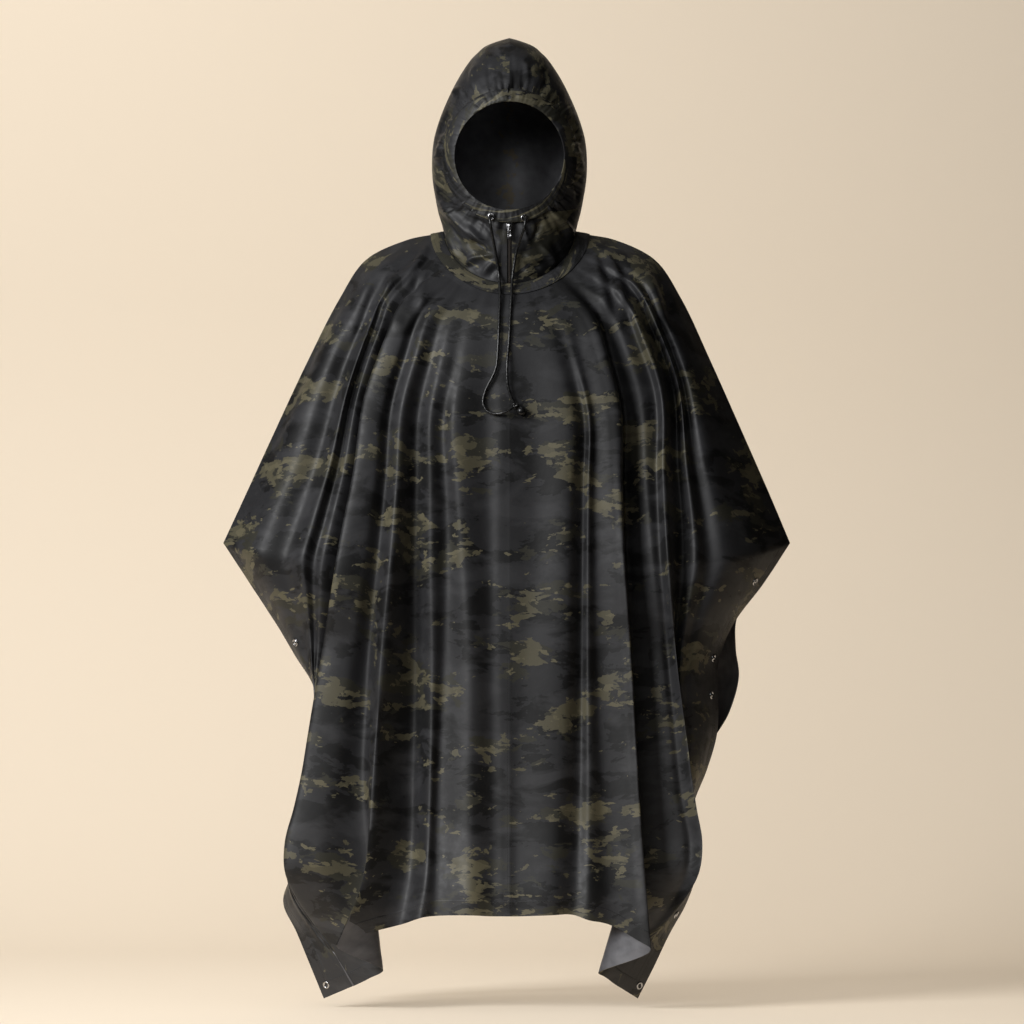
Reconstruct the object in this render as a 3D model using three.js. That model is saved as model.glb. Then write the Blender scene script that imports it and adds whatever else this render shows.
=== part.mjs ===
// A hooded rain poncho as it hangs on a wearer whose arms are held away from the body.
// Millimetres, +Z up, +X to the right in the front view, -Y the front.
// The origin is the middle of the neck at the height of the shoulders.
import * as THREE from "three";

// Cloth
const clothThickness = 1.2;
const seamGap = 0.3;
const layerGap = 0.3;
const edgeClearance = 4;
const sideOpening = 10;
const cornerSwing = 72;

// Body of the poncho
const cornerZ = -1208;
const tipZ = -485;
const reliefFrom = -300;
const reliefTo = -760;

// Hood
const faceHalfWidth = 88;
const faceHalfHeight = 87;
const faceCentreZ = 130;
const casingWidth = 19;
const casingGathers = 25;
const crownSeamZ = 323;
const crownShoulderZ = 305;
const zipHalfOpening = 4;

// Small hardware
const snapDiameter = 13;
const snapHeight = 2.4;
const grommetDiameter = 13;
const grommetHole = 6;
const eyeletDiameter = 12;
const eyeletHole = 5.4;
const cordDiameter = 4.6;
const cordLockDiameter = 15;

// Rings from the neckline down to the arm tips. side is where the ring meets the shoulder line.
// front and back are its heights at the centre seams, and the depths are how far out it lies there.
// spread tells how far the folds have left the even spacing of the neckline.
const upperRings = [
  {
    name: "neckline", sideZ: 12, left: 104, right: 105,
    front: -72, back: 22, frontDepth: 92, backDepth: 84, spread: 0, gather: 0,
  },
  {
    name: "bandEdge", sideZ: 8, left: 127, right: 129,
    front: -91, back: 6, frontDepth: 107, backDepth: 99, spread: 0.12, gather: 0.05,
  },
  {
    name: "yoke", sideZ: 0, left: 164, right: 169,
    front: -118, back: -22, frontDepth: 122, backDepth: 114, spread: 0.35, gather: 0.15,
  },
  {
    name: "shoulder", sideZ: -32, left: 230, right: 233,
    front: -156, back: -72, frontDepth: 135, backDepth: 126, spread: 0.65, gather: 0.45,
  },
  {
    name: "upperArm", sideZ: -96, left: 273, right: 276,
    front: -215, back: -140, frontDepth: 145, backDepth: 134, spread: 0.85, gather: 0.85,
  },
  {
    name: "chest", sideZ: -192, left: 322, right: 321,
    front: -300, back: -235, frontDepth: 150, backDepth: 136, spread: 1, gather: 1,
  },
  {
    name: "elbow", sideZ: -320, left: 382, right: 378,
    front: -400, back: -350, frontDepth: 150, backDepth: 132, spread: 1, gather: 1,
  },
  {
    name: "forearm", sideZ: -416, left: 426, right: 420,
    front: -475, back: -445, frontDepth: 150, backDepth: 130, spread: 1, gather: 1,
  },
  {
    name: "tip", sideZ: tipZ, left: 458, right: 449,
    front: -535, back: -520, frontDepth: 152, backDepth: 132, spread: 1, gather: 1,
  },
];

// Rings below the arm tips, at a share of the drop from the tip to the hem.
// The four widths are those of the side edges, which hang free there.
const lowerRings = [
  { drop: 0.09, left: 415, right: 406, backLeft: 419, backRight: 411, frontDepth: 154, backDepth: 134 },
  { drop: 0.18, left: 372, right: 358, backLeft: 381, backRight: 366, frontDepth: 155, backDepth: 138 },
  { drop: 0.26, left: 338, right: 335, backLeft: 350, backRight: 363, frontDepth: 156, backDepth: 142 },
  { drop: 0.33, left: 303, right: 334, backLeft: 316, backRight: 368, frontDepth: 158, backDepth: 146 },
  { drop: 0.42, left: 288, right: 332, backLeft: 296, backRight: 352, frontDepth: 160, backDepth: 150 },
  { drop: 0.5, left: 290, right: 316, backLeft: 292, backRight: 322, frontDepth: 163, backDepth: 155 },
  { drop: 0.58, left: 302, right: 294, backLeft: 294, backRight: 305, frontDepth: 167, backDepth: 160 },
  { drop: 0.66, left: 325, right: 290, backLeft: 305, backRight: 292, frontDepth: 171, backDepth: 165 },
  { drop: 0.73, left: 347, right: 297, backLeft: 318, backRight: 290, frontDepth: 175, backDepth: 170 },
  { drop: 0.79, left: 361, right: 284, backLeft: 332, backRight: 286, frontDepth: 179, backDepth: 174 },
  { drop: 0.86, left: 338, right: 255, backLeft: 338, backRight: 272, frontDepth: 182, backDepth: 178 },
  { drop: 0.93, left: 316, right: 230, backLeft: 328, backRight: 254, frontDepth: 186, backDepth: 182 },
  { drop: 1, left: 295, right: 204, backLeft: 310, backRight: 234, frontDepth: 190, backDepth: 186 },
];
const restingRing = upperRings.length + 1;

// Folds of the front, from the centre seam to the side edge. The first five numbers are how far
// the fold's line is from the centre at these heights, then where it meets the hem.
// high and low are how far it stands out above and below the waist, in front of the smooth form.
// A fold with a share instead lies that far from the side edge towards the row named under.
const foldHeights = [-288, -480, -672, -864, -1010];
const leftFolds = [
  { name: "seam", x: [0, 0, 0, 0, 0], hem: 0, hemZ: -1071, high: 1, low: -1 },
  { name: "centreRidge", x: [14, 16, 14, 12, 12], hem: 12, hemZ: -1071, high: 1, low: -2 },
  { name: "chestDip", x: [38, 34, 30, 28, 28], hem: 28, hemZ: -1071, high: -4, low: -3 },
  { name: "longRidge", x: [88, 74, 62, 63, 62], hem: 62, hemZ: -1069, high: 8, low: 9 },
  { name: "sharpDip", x: [106, 100, 103, 112, 115], hem: 117, hemZ: -1071, high: -6, low: -13 },
  { name: "minorRidge", x: [125, 124, 122, 125, 131], hem: 141, hemZ: -1074, high: 3, low: -4 },
  { name: "broadDip", x: [146, 151, 152, 155, 160], hem: 176, hemZ: -1087, high: -17, low: -36 },
  { name: "pleatEdge", x: [170, 184, 202, 215, 230], hem: 272, hemZ: -1116, high: 9, low: 26 },
  { name: "pleatBack", x: [188, 206, 224, 231, 217], hem: 201, hemZ: -1158, high: -7, low: -20 },
  { name: "sideRidge", x: [202, 228, 254, 281, 300], hem: 222, hemZ: -1172, high: 9, low: 4 },
  { name: "bodyFold", x: [230, 268, 300, 332, 354], hem: 238, hemZ: -1181, high: 14, low: 16 },
  { name: "underFold", x: [217, 253, 284, 312, 338], hem: 248, hemZ: -1186, high: -36, low: -22 },
  { name: "armRidgeInner", share: 0.89, under: "bodyFold", high: -9, low: 0 },
  { name: "armDipInner", share: 0.8, under: "bodyFold", high: -15, low: -5 },
  { name: "armRidgeMiddle", share: 0.71, under: "bodyFold", high: 3, low: 2 },
  { name: "armDipOuter", share: 0.55, under: "bodyFold", high: -16, low: -5 },
  { name: "armRidgeOuter", share: 0.31, under: "bodyFold", high: 5, low: 1 },
  { name: "edge", share: 0, under: "bodyFold", high: 0, low: 0 },
];
const rightFolds = [
  { name: "seam", x: [0, 0, 0, 0, 0], hem: 0, hemZ: -1071, high: 1, low: -1 },
  { name: "chestDip", x: [34, 40, 24, 14, 12], hem: 12, hemZ: -1071, high: -4, low: -2 },
  { name: "broadRidge", x: [98, 92, 90, 79, 71], hem: 67, hemZ: -1069, high: 7, low: 6 },
  { name: "longDip", x: [117, 115, 113, 110, 104], hem: 99, hemZ: -1069, high: -8, low: -10 },
  { name: "minorRidge", x: [126, 124, 124, 126, 126], hem: 124, hemZ: -1077, high: 2, low: 1 },
  { name: "minorDip", x: [134, 136, 140, 147, 152], hem: 156, hemZ: -1084, high: -4, low: -7 },
  { name: "frontRidge", x: [156, 167, 178, 188, 194], hem: 200, hemZ: -1108, high: 6, low: 8 },
  { name: "pleatEdge", x: [174, 180, 193, 204, 214], hem: 223, hemZ: -1124, high: 8, low: 18 },
  { name: "pleatBack", x: [181, 184, 188, 190, 182], hem: 142, hemZ: -1163, high: -40, low: -38 },
  { name: "sideRidge", x: [210, 223, 241, 258, 268], hem: 150, hemZ: -1169, high: -10, low: -8 },
  { name: "sideDip", x: [231, 237, 252, 270, 280], hem: 158, hemZ: -1175, high: -9, low: -5 },
  { name: "bodyFold", x: [241, 249, 265, 289, 298], hem: 165, hemZ: -1181, high: 10, low: 16 },
  { name: "underFold", x: [260, 273, 262, 268, 282], hem: 172, hemZ: -1186, high: -20, low: -16 },
  { name: "armRidgeInner", share: 0.87, under: "underFold", high: 4, low: 0 },
  { name: "armDipInner", share: 0.76, under: "underFold", high: -9, low: -3 },
  { name: "armRidgeMiddle", share: 0.6, under: "underFold", high: 6, low: 2 },
  { name: "armDipOuter", share: 0.3, under: "underFold", high: -5, low: -2 },
  { name: "edge", share: 0, under: "underFold", high: 0, low: 0 },
];

// Folds of the back, as shares of the way from the centre seam to the side edge, at the top and at the hem.
const backFolds = [
  { top: 0, hem: 0, high: 0, low: 2 },
  { top: 0.08, hem: 0.07, high: 5, low: 12 },
  { top: 0.17, hem: 0.16, high: -7, low: -14 },
  { top: 0.25, hem: 0.24, high: 8, low: 16 },
  { top: 0.33, hem: 0.34, high: -9, low: -18 },
  { top: 0.41, hem: 0.41, high: 7, low: 13 },
  { top: 0.5, hem: 0.52, high: -12, low: -19 },
  { top: 0.58, hem: 0.61, high: 9, low: 15 },
  { top: 0.67, hem: 0.7, high: -9, low: -14 },
  { top: 0.76, hem: 0.79, high: 7, low: 9 },
  { top: 0.86, hem: 0.88, high: -7, low: -5 },
  { top: 0.94, hem: 0.95, high: 2, low: 2 },
  { top: 1, hem: 1, high: 0, low: 0 },
];
const backHemCentreZ = -1076;
const backCornerDrop = 56;
const backHang = 430;

// Horizontal sections of the hood: half its width, and how far it reaches to the front and the back.
const hoodSections = [
  { z: 13, half: 111, front: 98, back: 104 },
  { z: 32, half: 112, front: 101, back: 112 },
  { z: 64, half: 118, front: 107, back: 123 },
  { z: 96, half: 123, front: 112, back: 131 },
  { z: 128, half: 124, front: 115, back: 135 },
  { z: 160, half: 121, front: 116, back: 135 },
  { z: 192, half: 112, front: 114, back: 129 },
  { z: 224, half: 99, front: 106, back: 117 },
  { z: 256, half: 83, front: 92, back: 98 },
  { z: 288, half: 62, front: 68, back: 68 },
  { z: 305, half: 45, front: 48, back: 44 },
];

const mix = (from, to, share) => from + (to - from) * share;
const clamp = THREE.MathUtils.clamp;
const easeStep = (from, to, value) => THREE.MathUtils.smoothstep(value, from, to);

// A smooth curve through values given at rising or falling positions.
function throughValues(positions, values, at) {
  const last = positions.length - 1;
  const rising = positions[last] > positions[0];
  const low = rising ? positions[0] : positions[last];
  const high = rising ? positions[last] : positions[0];
  const place = clamp(at, low, high);
  let span = 0;
  while (span < last - 1 && (rising ? place > positions[span + 1] : place < positions[span + 1])) span += 1;
  const slope = (i) => {
    const before = Math.max(i - 1, 0);
    const after = Math.min(i + 1, last);
    return (values[after] - values[before]) / (positions[after] - positions[before]);
  };
  const width = positions[span + 1] - positions[span];
  const t = (place - positions[span]) / width;
  const t2 = t * t;
  const t3 = t2 * t;
  return (
    values[span] * (2 * t3 - 3 * t2 + 1) +
    slope(span) * width * (t3 - 2 * t2 + t) +
    values[span + 1] * (3 * t2 - 2 * t3) +
    slope(span + 1) * width * (t3 - t2)
  );
}

// The height of a ring above the arm tips, at a share of the way from the centre to the shoulder line.
function upperRingZ(ring, centreZ, share) {
  const bow = mix(0.55, 0.8, ring.spread);
  return ring.sideZ + (centreZ - ring.sideZ) * Math.pow(Math.max(1 - share * share, 0), bow);
}

// The smooth form's depth, as a part of the depth at the centre.
function depthAt(spread, share) {
  const power = mix(2, 3, spread);
  const root = mix(0.5, 0.6, spread);
  return Math.pow(Math.max(1 - Math.pow(Math.min(share, 1), power), 0), root);
}

// The distance from the centre of a front fold's line, at a height and between the ring's own side edges.
function foldX(folds, fold, z, edgeX) {
  if (fold.share !== undefined) {
    const under = folds.find((row) => row.name === fold.under);
    return mix(edgeX, foldX(folds, under, z, edgeX), fold.share);
  }
  return throughValues([...foldHeights, fold.hemZ], [...fold.x, fold.hem], z);
}

function foldHemZ(folds, fold) {
  if (fold.share === undefined) return fold.hemZ;
  const under = folds.find((row) => row.name === fold.under);
  return mix(cornerZ, under.hemZ, fold.share);
}

// How far a free side edge hangs from the middle plane, in front or at the back.
function edgeDepth(drop, swing) {
  return edgeClearance + sideOpening * easeStep(0, 0.2, drop) + swing * easeStep(0.7, 0.97, drop);
}

function reliefAt(fold, z) {
  return mix(fold.high, fold.low, easeStep(-reliefFrom, -reliefTo, -z));
}

// The points that carry the front's surface: a row for each ring, a column for each fold.
function frontControls(side) {
  const folds = side < 0 ? leftFolds : rightFolds;
  const width = side < 0 ? "left" : "right";
  const chest = upperRings.find((ring) => ring.name === "chest");
  const edgeColumn = folds.length - 1;
  const settle = (ring, fold) => {
    const edgeX = ring[width];
    let share = 0.5;
    for (let round = 0; round < 6; round += 1) {
      const z = upperRingZ(ring, ring.front, share);
      share = clamp(foldX(folds, fold, z, edgeX) / edgeX, 0, 1);
    }
    return share;
  };
  const chestShares = folds.map((fold) => settle(chest, fold));
  const tipHeights = folds.map(() => 0);
  const restShares = folds.map(() => 0);
  const rows = [];
  for (const ring of upperRings) {
    const row = folds.map((fold, column) => {
      const neckShare = Math.sin((Math.PI / 2) * (column / edgeColumn));
      let share = ring.spread < 1 ? mix(neckShare, chestShares[column], ring.spread) : settle(ring, fold);
      if (column === edgeColumn) share = 1;
      const z = upperRingZ(ring, ring.front, share);
      tipHeights[column] = z;
      const fade = clamp((1 - share) / 0.12, 0, 1);
      const relief = reliefAt(fold, z) * ring.gather * fade;
      const depth = ring.frontDepth * depthAt(ring.spread, share) + relief;
      const y = column === edgeColumn ? -seamGap / 2 : -Math.max(depth, edgeClearance);
      return new THREE.Vector3(side * Math.max(share * ring[width], seamGap / 2), y, z);
    });
    rows.push(row);
  }
  const pleatColumn = folds.findIndex((fold) => fold.name === "pleatBack");
  lowerRings.forEach((ring, index) => {
    const edgeX = ring[width];
    const edgeOut = edgeDepth(ring.drop, cornerSwing);
    const places = folds.map((fold, column) => {
      const z = mix(tipHeights[column], foldHemZ(folds, fold), ring.drop);
      const x = column === edgeColumn ? edgeX : foldX(folds, fold, z, edgeX);
      if (upperRings.length + index <= restingRing) restShares[column] = clamp(x / edgeX, 0, 1);
      const share = restShares[column];
      const fade = clamp((1 - share) / 0.12, 0, 1);
      const depth = ring.frontDepth * depthAt(1, share) + reliefAt(fold, z) * fade;
      return { x, z, depth: Math.hypot(Math.max(depth, 0), edgeOut) };
    });
    const pleat = places[pleatColumn];
    const flatten = easeStep(0.72, 0.97, ring.drop);
    rows.push(
      places.map(({ x, z, depth }, column) => {
        let out = depth;
        if (column > pleatColumn) {
          const along = clamp((x - pleat.x) / (edgeX - pleat.x), 0, 1);
          out = mix(depth, mix(pleat.depth, edgeOut, along), flatten);
        }
        return new THREE.Vector3(side * Math.max(x, seamGap / 2), -out, z);
      }),
    );
  });
  return rows;
}

// The points that carry the back's surface.
function backControls(side) {
  const width = side < 0 ? "left" : "right";
  const lowerWidth = side < 0 ? "backLeft" : "backRight";
  const edgeColumn = backFolds.length - 1;
  const rows = [];
  for (const ring of upperRings) {
    const row = backFolds.map((fold, column) => {
      const neckShare = Math.sin((Math.PI / 2) * (column / edgeColumn));
      const share = mix(neckShare, fold.top, ring.spread);
      const fade = clamp((1 - share) / 0.12, 0, 1);
      const relief = fold.high * ring.gather * fade;
      const depth = ring.backDepth * depthAt(ring.spread, share) + relief;
      const y = column === edgeColumn ? seamGap / 2 : Math.max(depth, edgeClearance);
      const z = upperRingZ(ring, ring.back, share);
      return new THREE.Vector3(side * Math.max(share * ring[width], seamGap / 2), y, z);
    });
    rows.push(row);
  }
  const tipRow = rows[rows.length - 1];
  for (const ring of lowerRings) {
    const row = backFolds.map((fold, column) => {
      const share = mix(fold.top, fold.hem, ring.drop);
      const hemZ = backHemCentreZ - backCornerDrop * Math.pow(share, 2.2);
      const z = mix(tipRow[column].z, hemZ, ring.drop);
      const fade = clamp((1 - share) / 0.12, 0, 1);
      const relief = mix(fold.high, fold.low, ring.drop) * fade;
      const depth = ring.backDepth * depthAt(1, share) + relief;
      const y = Math.hypot(Math.max(depth, 0), edgeDepth(ring.drop, 0));
      const hang = Math.min(backHang, 1.45 * ring[lowerWidth]);
      const x = share * hang + (ring[lowerWidth] - hang) * Math.pow(share, 3);
      return new THREE.Vector3(side * Math.max(x, seamGap / 2), y, z);
    });
    rows.push(row);
  }
  return rows;
}

// A finer grid on smooth curves through the control points, first across and then down.
function smoothGrid(rows, across, down) {
  const spread = rows.map((row) => sampleCurve(row, across));
  const columns = spread[0].map((_, column) => sampleCurve(spread.map((row) => row[column]), down));
  return columns[0].map((_, row) => columns.map((column) => column[row]));
}

function sampleCurve(points, steps) {
  const curve = new THREE.CatmullRomCurve3(points, false, "centripetal");
  const count = (points.length - 1) * steps;
  return Array.from({ length: count + 1 }, (_, i) => curve.getPoint(i / count));
}

// Outward normals of a grid. keepX and keepY name the edge columns or rows that stay in their seam's plane.
function gridNormals(grid, options = {}) {
  const rows = grid.length;
  const columns = grid[0].length;
  const wrap = options.closed === true;
  const at = (row, column) => grid[row][wrap ? (column + columns) % columns : clamp(column, 0, columns - 1)];
  const normals = grid.map((line, row) =>
    line.map((_, column) => {
      const along = at(row, column + 1).clone().sub(at(row, column - 1));
      const down = grid[Math.min(row + 1, rows - 1)][column].clone().sub(grid[Math.max(row - 1, 0)][column]);
      return along.cross(down).normalize();
    }),
  );
  let outward = 0;
  grid.forEach((line, row) =>
    line.forEach((point, column) => {
      outward += normals[row][column].x * point.x + normals[row][column].y * point.y;
    }),
  );
  normals.forEach((line, row) =>
    line.forEach((normal, column) => {
      if (outward < 0) normal.negate();
      if (options.keepX?.(row, column)) normal.setX(0).normalize();
      if (options.keepY?.(row, column)) normal.setY(0).normalize();
    }),
  );
  return normals;
}

const moved = (grid, normals, distance) =>
  grid.map((line, row) =>
    line.map((point, column) => point.clone().addScaledVector(normals[row][column], distance)),
  );

// A closed wall between an outer and an inner grid.
function wallGeometry(outer, inner, closed = false) {
  const rows = outer.length;
  const columns = outer[0].length;
  const points = [...outer.flat(), ...inner.flat()];
  const outside = (row, column) => row * columns + (column % columns);
  const inside = (row, column) => rows * columns + outside(row, column);
  const index = [];
  const quad = (a, b, c, d) => index.push(a, b, c, a, c, d);
  const spans = closed ? columns : columns - 1;
  for (let row = 0; row < rows - 1; row += 1) {
    for (let column = 0; column < spans; column += 1) {
      const next = column + 1;
      quad(outside(row, column), outside(row + 1, column), outside(row + 1, next), outside(row, next));
      quad(inside(row, column), inside(row, next), inside(row + 1, next), inside(row + 1, column));
    }
  }
  const last = rows - 1;
  for (let column = 0; column < spans; column += 1) {
    const next = column + 1;
    quad(outside(0, column), outside(0, next), inside(0, next), inside(0, column));
    quad(outside(last, column), inside(last, column), inside(last, next), outside(last, next));
  }
  if (!closed) {
    const end = columns - 1;
    for (let row = 0; row < last; row += 1) {
      quad(outside(row, 0), inside(row, 0), inside(row + 1, 0), outside(row + 1, 0));
      quad(outside(row, end), outside(row + 1, end), inside(row + 1, end), inside(row, end));
    }
  }
  return facingOut(points, index);
}

// Turns the triangles round where they would enclose a negative volume.
function facingOut(points, index) {
  let volume = 0;
  for (let i = 0; i < index.length; i += 3) {
    const [a, b, c] = [points[index[i]], points[index[i + 1]], points[index[i + 2]]];
    volume += a.dot(b.clone().cross(c));
  }
  if (volume < 0) {
    for (let i = 0; i < index.length; i += 3) [index[i + 1], index[i + 2]] = [index[i + 2], index[i + 1]];
  }
  const geometry = new THREE.BufferGeometry();
  const coordinates = points.flatMap((point) => point.toArray());
  geometry.setAttribute("position", new THREE.Float32BufferAttribute(coordinates, 3));
  geometry.setIndex(index);
  return geometry;
}

const poncho = new THREE.Group();
const coatedCloth = new THREE.MeshStandardMaterial({ color: 0x3f3e3b, roughness: 0.5, metalness: 0 });
const zipTapeCloth = new THREE.MeshStandardMaterial({ color: 0x2a2825, roughness: 0.8, metalness: 0 });
const zipCoil = new THREE.MeshStandardMaterial({ color: 0x5a4a3c, roughness: 0.5, metalness: 0 });
const plating = new THREE.MeshStandardMaterial({ color: 0xb9b9ba, roughness: 0.25, metalness: 1 });
const cordCover = new THREE.MeshStandardMaterial({ color: 0x151515, roughness: 0.35, metalness: 0 });

function addPiece(name, geometry, material) {
  const mesh = new THREE.Mesh(geometry, material);
  mesh.name = name;
  poncho.add(mesh);
  return mesh;
}

// Front and back panels
const acrossSteps = 2;
const tipRow = upperRings.length - 1;
const panels = {};
for (const [name, side, facing] of [
  ["front_left", -1, -1],
  ["front_right", 1, -1],
  ["back_left", -1, 1],
  ["back_right", 1, 1],
]) {
  const controls = facing < 0 ? frontControls(side) : backControls(side);
  const grid = smoothGrid(controls, acrossSteps, 1);
  const lastColumn = grid[0].length - 1;
  const normals = gridNormals(grid, {
    keepX: (row, column) => column === 0,
    keepY: (row, column) => column === lastColumn && row <= tipRow,
  });
  panels[name] = { controls, grid, normals };
  addPiece(name, wallGeometry(grid, moved(grid, normals, -clothThickness)), coatedCloth);
}

// A place on a panel, by its share of the way down its rings and of the way across its folds.
function placeOn(name, down, across) {
  const { grid, normals } = panels[name];
  const row = down * (grid.length - 1);
  const column = across * (grid[0].length - 1);
  const nearRow = Math.min(Math.floor(row), grid.length - 2);
  const nearColumn = Math.min(Math.floor(column), grid[0].length - 2);
  const blend = (table) => {
    const [top, low] = [table[nearRow], table[nearRow + 1]].map((line) =>
      line[nearColumn].clone().lerp(line[nearColumn + 1], column - nearColumn),
    );
    return top.lerp(low, row - nearRow);
  };
  return { point: blend(grid), normal: blend(normals).normalize() };
}

// Neckband over the neck seam, all round
const bandShares = [0.08, 0.97];
const bandThickness = 1.2;
const bandLift = 0.7;
function bandRing(share) {
  const quarter = (name, end) => {
    const { grid } = panels[name];
    return grid[0].map((point, column) => point.clone().lerp(grid[1][column], share)).slice(1, end);
  };
  return [
    ...quarter("front_left").reverse(),
    ...quarter("front_right"),
    ...quarter("back_right", -1).reverse(),
    ...quarter("back_left", -1),
  ];
}
const bandBase = bandShares.map(bandRing);
const bandNormals = gridNormals(bandBase, { closed: true });
addPiece(
  "neck_band",
  wallGeometry(
    moved(bandBase, bandNormals, bandLift + bandThickness),
    moved(bandBase, bandNormals, bandLift),
    true,
  ),
  coatedCloth,
);

// Hood: a half for each side, from the neckline to the seam over the crown
const throatRows = [0, 0.35, 0.7];
const faceSteps = 8;
const crownLevels = [240, 262, 285, crownShoulderZ];
const crownRows = [0.5, 1];
const hoodColumns = 16;
const hoodLift = 0.7;
const faceBottomZ = faceCentreZ - faceHalfHeight;

function hoodSection(z) {
  const heights = hoodSections.map((row) => row.z);
  const read = (key) => throughValues(heights, hoodSections.map((row) => row[key]), z);
  return { half: read("half"), front: read("front"), back: read("back") };
}

function hoodLevel(side, z, startX) {
  const section = hoodSection(z);
  const from = -Math.acos(startX / section.half);
  const to = Math.acos(seamGap / 2 / section.half);
  return Array.from({ length: hoodColumns + 1 }, (_, column) => {
    const angle = mix(from, to, column / hoodColumns);
    const reach = angle < 0 ? section.front : section.back;
    return new THREE.Vector3(side * section.half * Math.cos(angle), reach * Math.sin(angle), z);
  });
}

function neckLevel(side) {
  const ring = upperRings[0];
  const half = side < 0 ? ring.left : ring.right;
  const from = -Math.acos(zipHalfOpening / half);
  const to = Math.acos(seamGap / 2 / half);
  return Array.from({ length: hoodColumns + 1 }, (_, column) => {
    const angle = mix(from, to, column / hoodColumns);
    const share = Math.cos(angle);
    const reach = angle < 0 ? ring.frontDepth : ring.backDepth;
    const z = upperRingZ(ring, angle < 0 ? ring.front : ring.back, share);
    return new THREE.Vector3(side * half * share, reach * Math.sin(angle), z + hoodLift);
  });
}

function hoodGrid(side) {
  const neck = neckLevel(side);
  const throatTop = hoodLevel(side, faceBottomZ, zipHalfOpening);
  const rows = throatRows.map((share) =>
    neck.map((point, column) => point.clone().lerp(throatTop[column], share)),
  );
  for (let step = 0; step <= faceSteps; step += 1) {
    const angle = (Math.PI * step) / faceSteps;
    const z = faceCentreZ - faceHalfHeight * Math.cos(angle);
    const least = step === faceSteps ? seamGap / 2 : zipHalfOpening;
    rows.push(hoodLevel(side, z, Math.max(faceHalfWidth * Math.sin(angle), least)));
  }
  for (const z of crownLevels) rows.push(hoodLevel(side, z, seamGap / 2));
  const shoulderRow = rows[rows.length - 1];
  for (const share of crownRows) {
    rows.push(
      shoulderRow.map((point) => {
        const y = point.y * (1 - 0.06 * share);
        const middle = 1 - Math.pow(y / hoodSections[hoodSections.length - 1].front, 2);
        const seamZ = crownShoulderZ + 1.5 + (crownSeamZ - crownShoulderZ - 1.5) * Math.max(middle, 0);
        const x = Math.max(Math.abs(point.x) * (1 - Math.pow(share, 1.3)), seamGap / 2);
        return new THREE.Vector3(side * x, y, mix(crownShoulderZ, seamZ, share));
      }),
    );
  }
  return rows;
}

const firstFaceRow = throatRows.length;
const lastFaceRow = firstFaceRow + faceSteps;
const hoods = {};
for (const [name, side] of [
  ["hood_left", -1],
  ["hood_right", 1],
]) {
  const grid = hoodGrid(side);
  const normals = gridNormals(grid, {
    keepX: (row, column) =>
      column === hoodColumns ||
      row === grid.length - 1 ||
      (column === 0 && (row <= firstFaceRow || row >= lastFaceRow)),
  });
  hoods[name] = { grid, normals };
  addPiece(name, wallGeometry(grid, moved(grid, normals, -clothThickness)), coatedCloth);
}

function hoodFrontY(x, z) {
  const section = hoodSection(Math.max(z, faceBottomZ));
  return -section.front * Math.sqrt(Math.max(1 - (x / section.half) ** 2, 0));
}

// Gathered casing round the face opening
const casingOffsets = [-1.5, casingWidth * 0.45, casingWidth];
const casingThickness = 1.6;
const gatherHeight = 1.1;
const casingSteps = casingGathers * 4;
const casingBase = casingOffsets.map((offset) =>
  Array.from({ length: casingSteps }, (_, step) => {
    const angle = (2 * Math.PI * step) / casingSteps;
    const x = (faceHalfWidth + offset) * Math.cos(angle);
    const z = faceCentreZ + (faceHalfHeight + offset) * Math.sin(angle);
    return new THREE.Vector3(x, hoodFrontY(x, z), z);
  }),
);
const casingNormals = gridNormals(casingBase, { closed: true });
casingNormals.flat().forEach((normal) => normal.y > 0 && normal.negate());
const casingOuter = casingBase.map((line, row) =>
  line.map((point, step) => {
    const wave = gatherHeight * (1 + Math.cos((Math.PI / 2) * step + row));
    return point.clone().addScaledVector(casingNormals[row][step], layerGap + casingThickness + wave);
  }),
);
addPiece(
  "face_casing",
  wallGeometry(casingOuter, moved(casingBase, casingNormals, layerGap), true),
  coatedCloth,
);

// Throat zip, under the edges of the hood halves
const tapeThickness = 0.9;
const tapeDrop = clothThickness + 0.4;
const chainHalfWidth = 2.5;
const chainDepth = 1.8;
const chainProud = 0.2;
const tapeInnerX = chainHalfWidth + 0.4;
const zipTopShare = 0.8;

function throatPoint(side, share, across) {
  const { grid, normals } = hoods[side < 0 ? "hood_left" : "hood_right"];
  const row = share * firstFaceRow;
  const low = Math.min(Math.floor(row), firstFaceRow - 1);
  const blend = (table) => {
    const here = table[low][0].clone().lerp(table[low][1], across);
    const above = table[low + 1][0].clone().lerp(table[low + 1][1], across);
    return here.lerp(above, row - low);
  };
  return { point: blend(grid), normal: blend(normals).normalize() };
}

const zipShares = [0.02, 0.25, 0.5, zipTopShare];
for (const [name, side] of [
  ["zip_tape_left", -1],
  ["zip_tape_right", 1],
]) {
  const tapeAt = (depth) =>
    zipShares.map((share) => {
      const line = [0, 0.3, 0.6].map((across) => {
        const { point, normal } = throatPoint(side, share, across);
        return point.addScaledVector(normal, -depth);
      });
      return [line[0].clone().setX(side * tapeInnerX), ...line];
    });
  addPiece(name, wallGeometry(tapeAt(tapeDrop), tapeAt(tapeDrop + tapeThickness)), zipTapeCloth);
}
const chainAt = (depth) =>
  zipShares.map((share) => {
    const { point } = throatPoint(1, share, 0);
    return [-chainHalfWidth, chainHalfWidth].map((x) => new THREE.Vector3(x, point.y + depth, point.z));
  });
addPiece("zip_chain", wallGeometry(chainAt(-chainProud), chainAt(chainDepth)), zipCoil);

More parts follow.
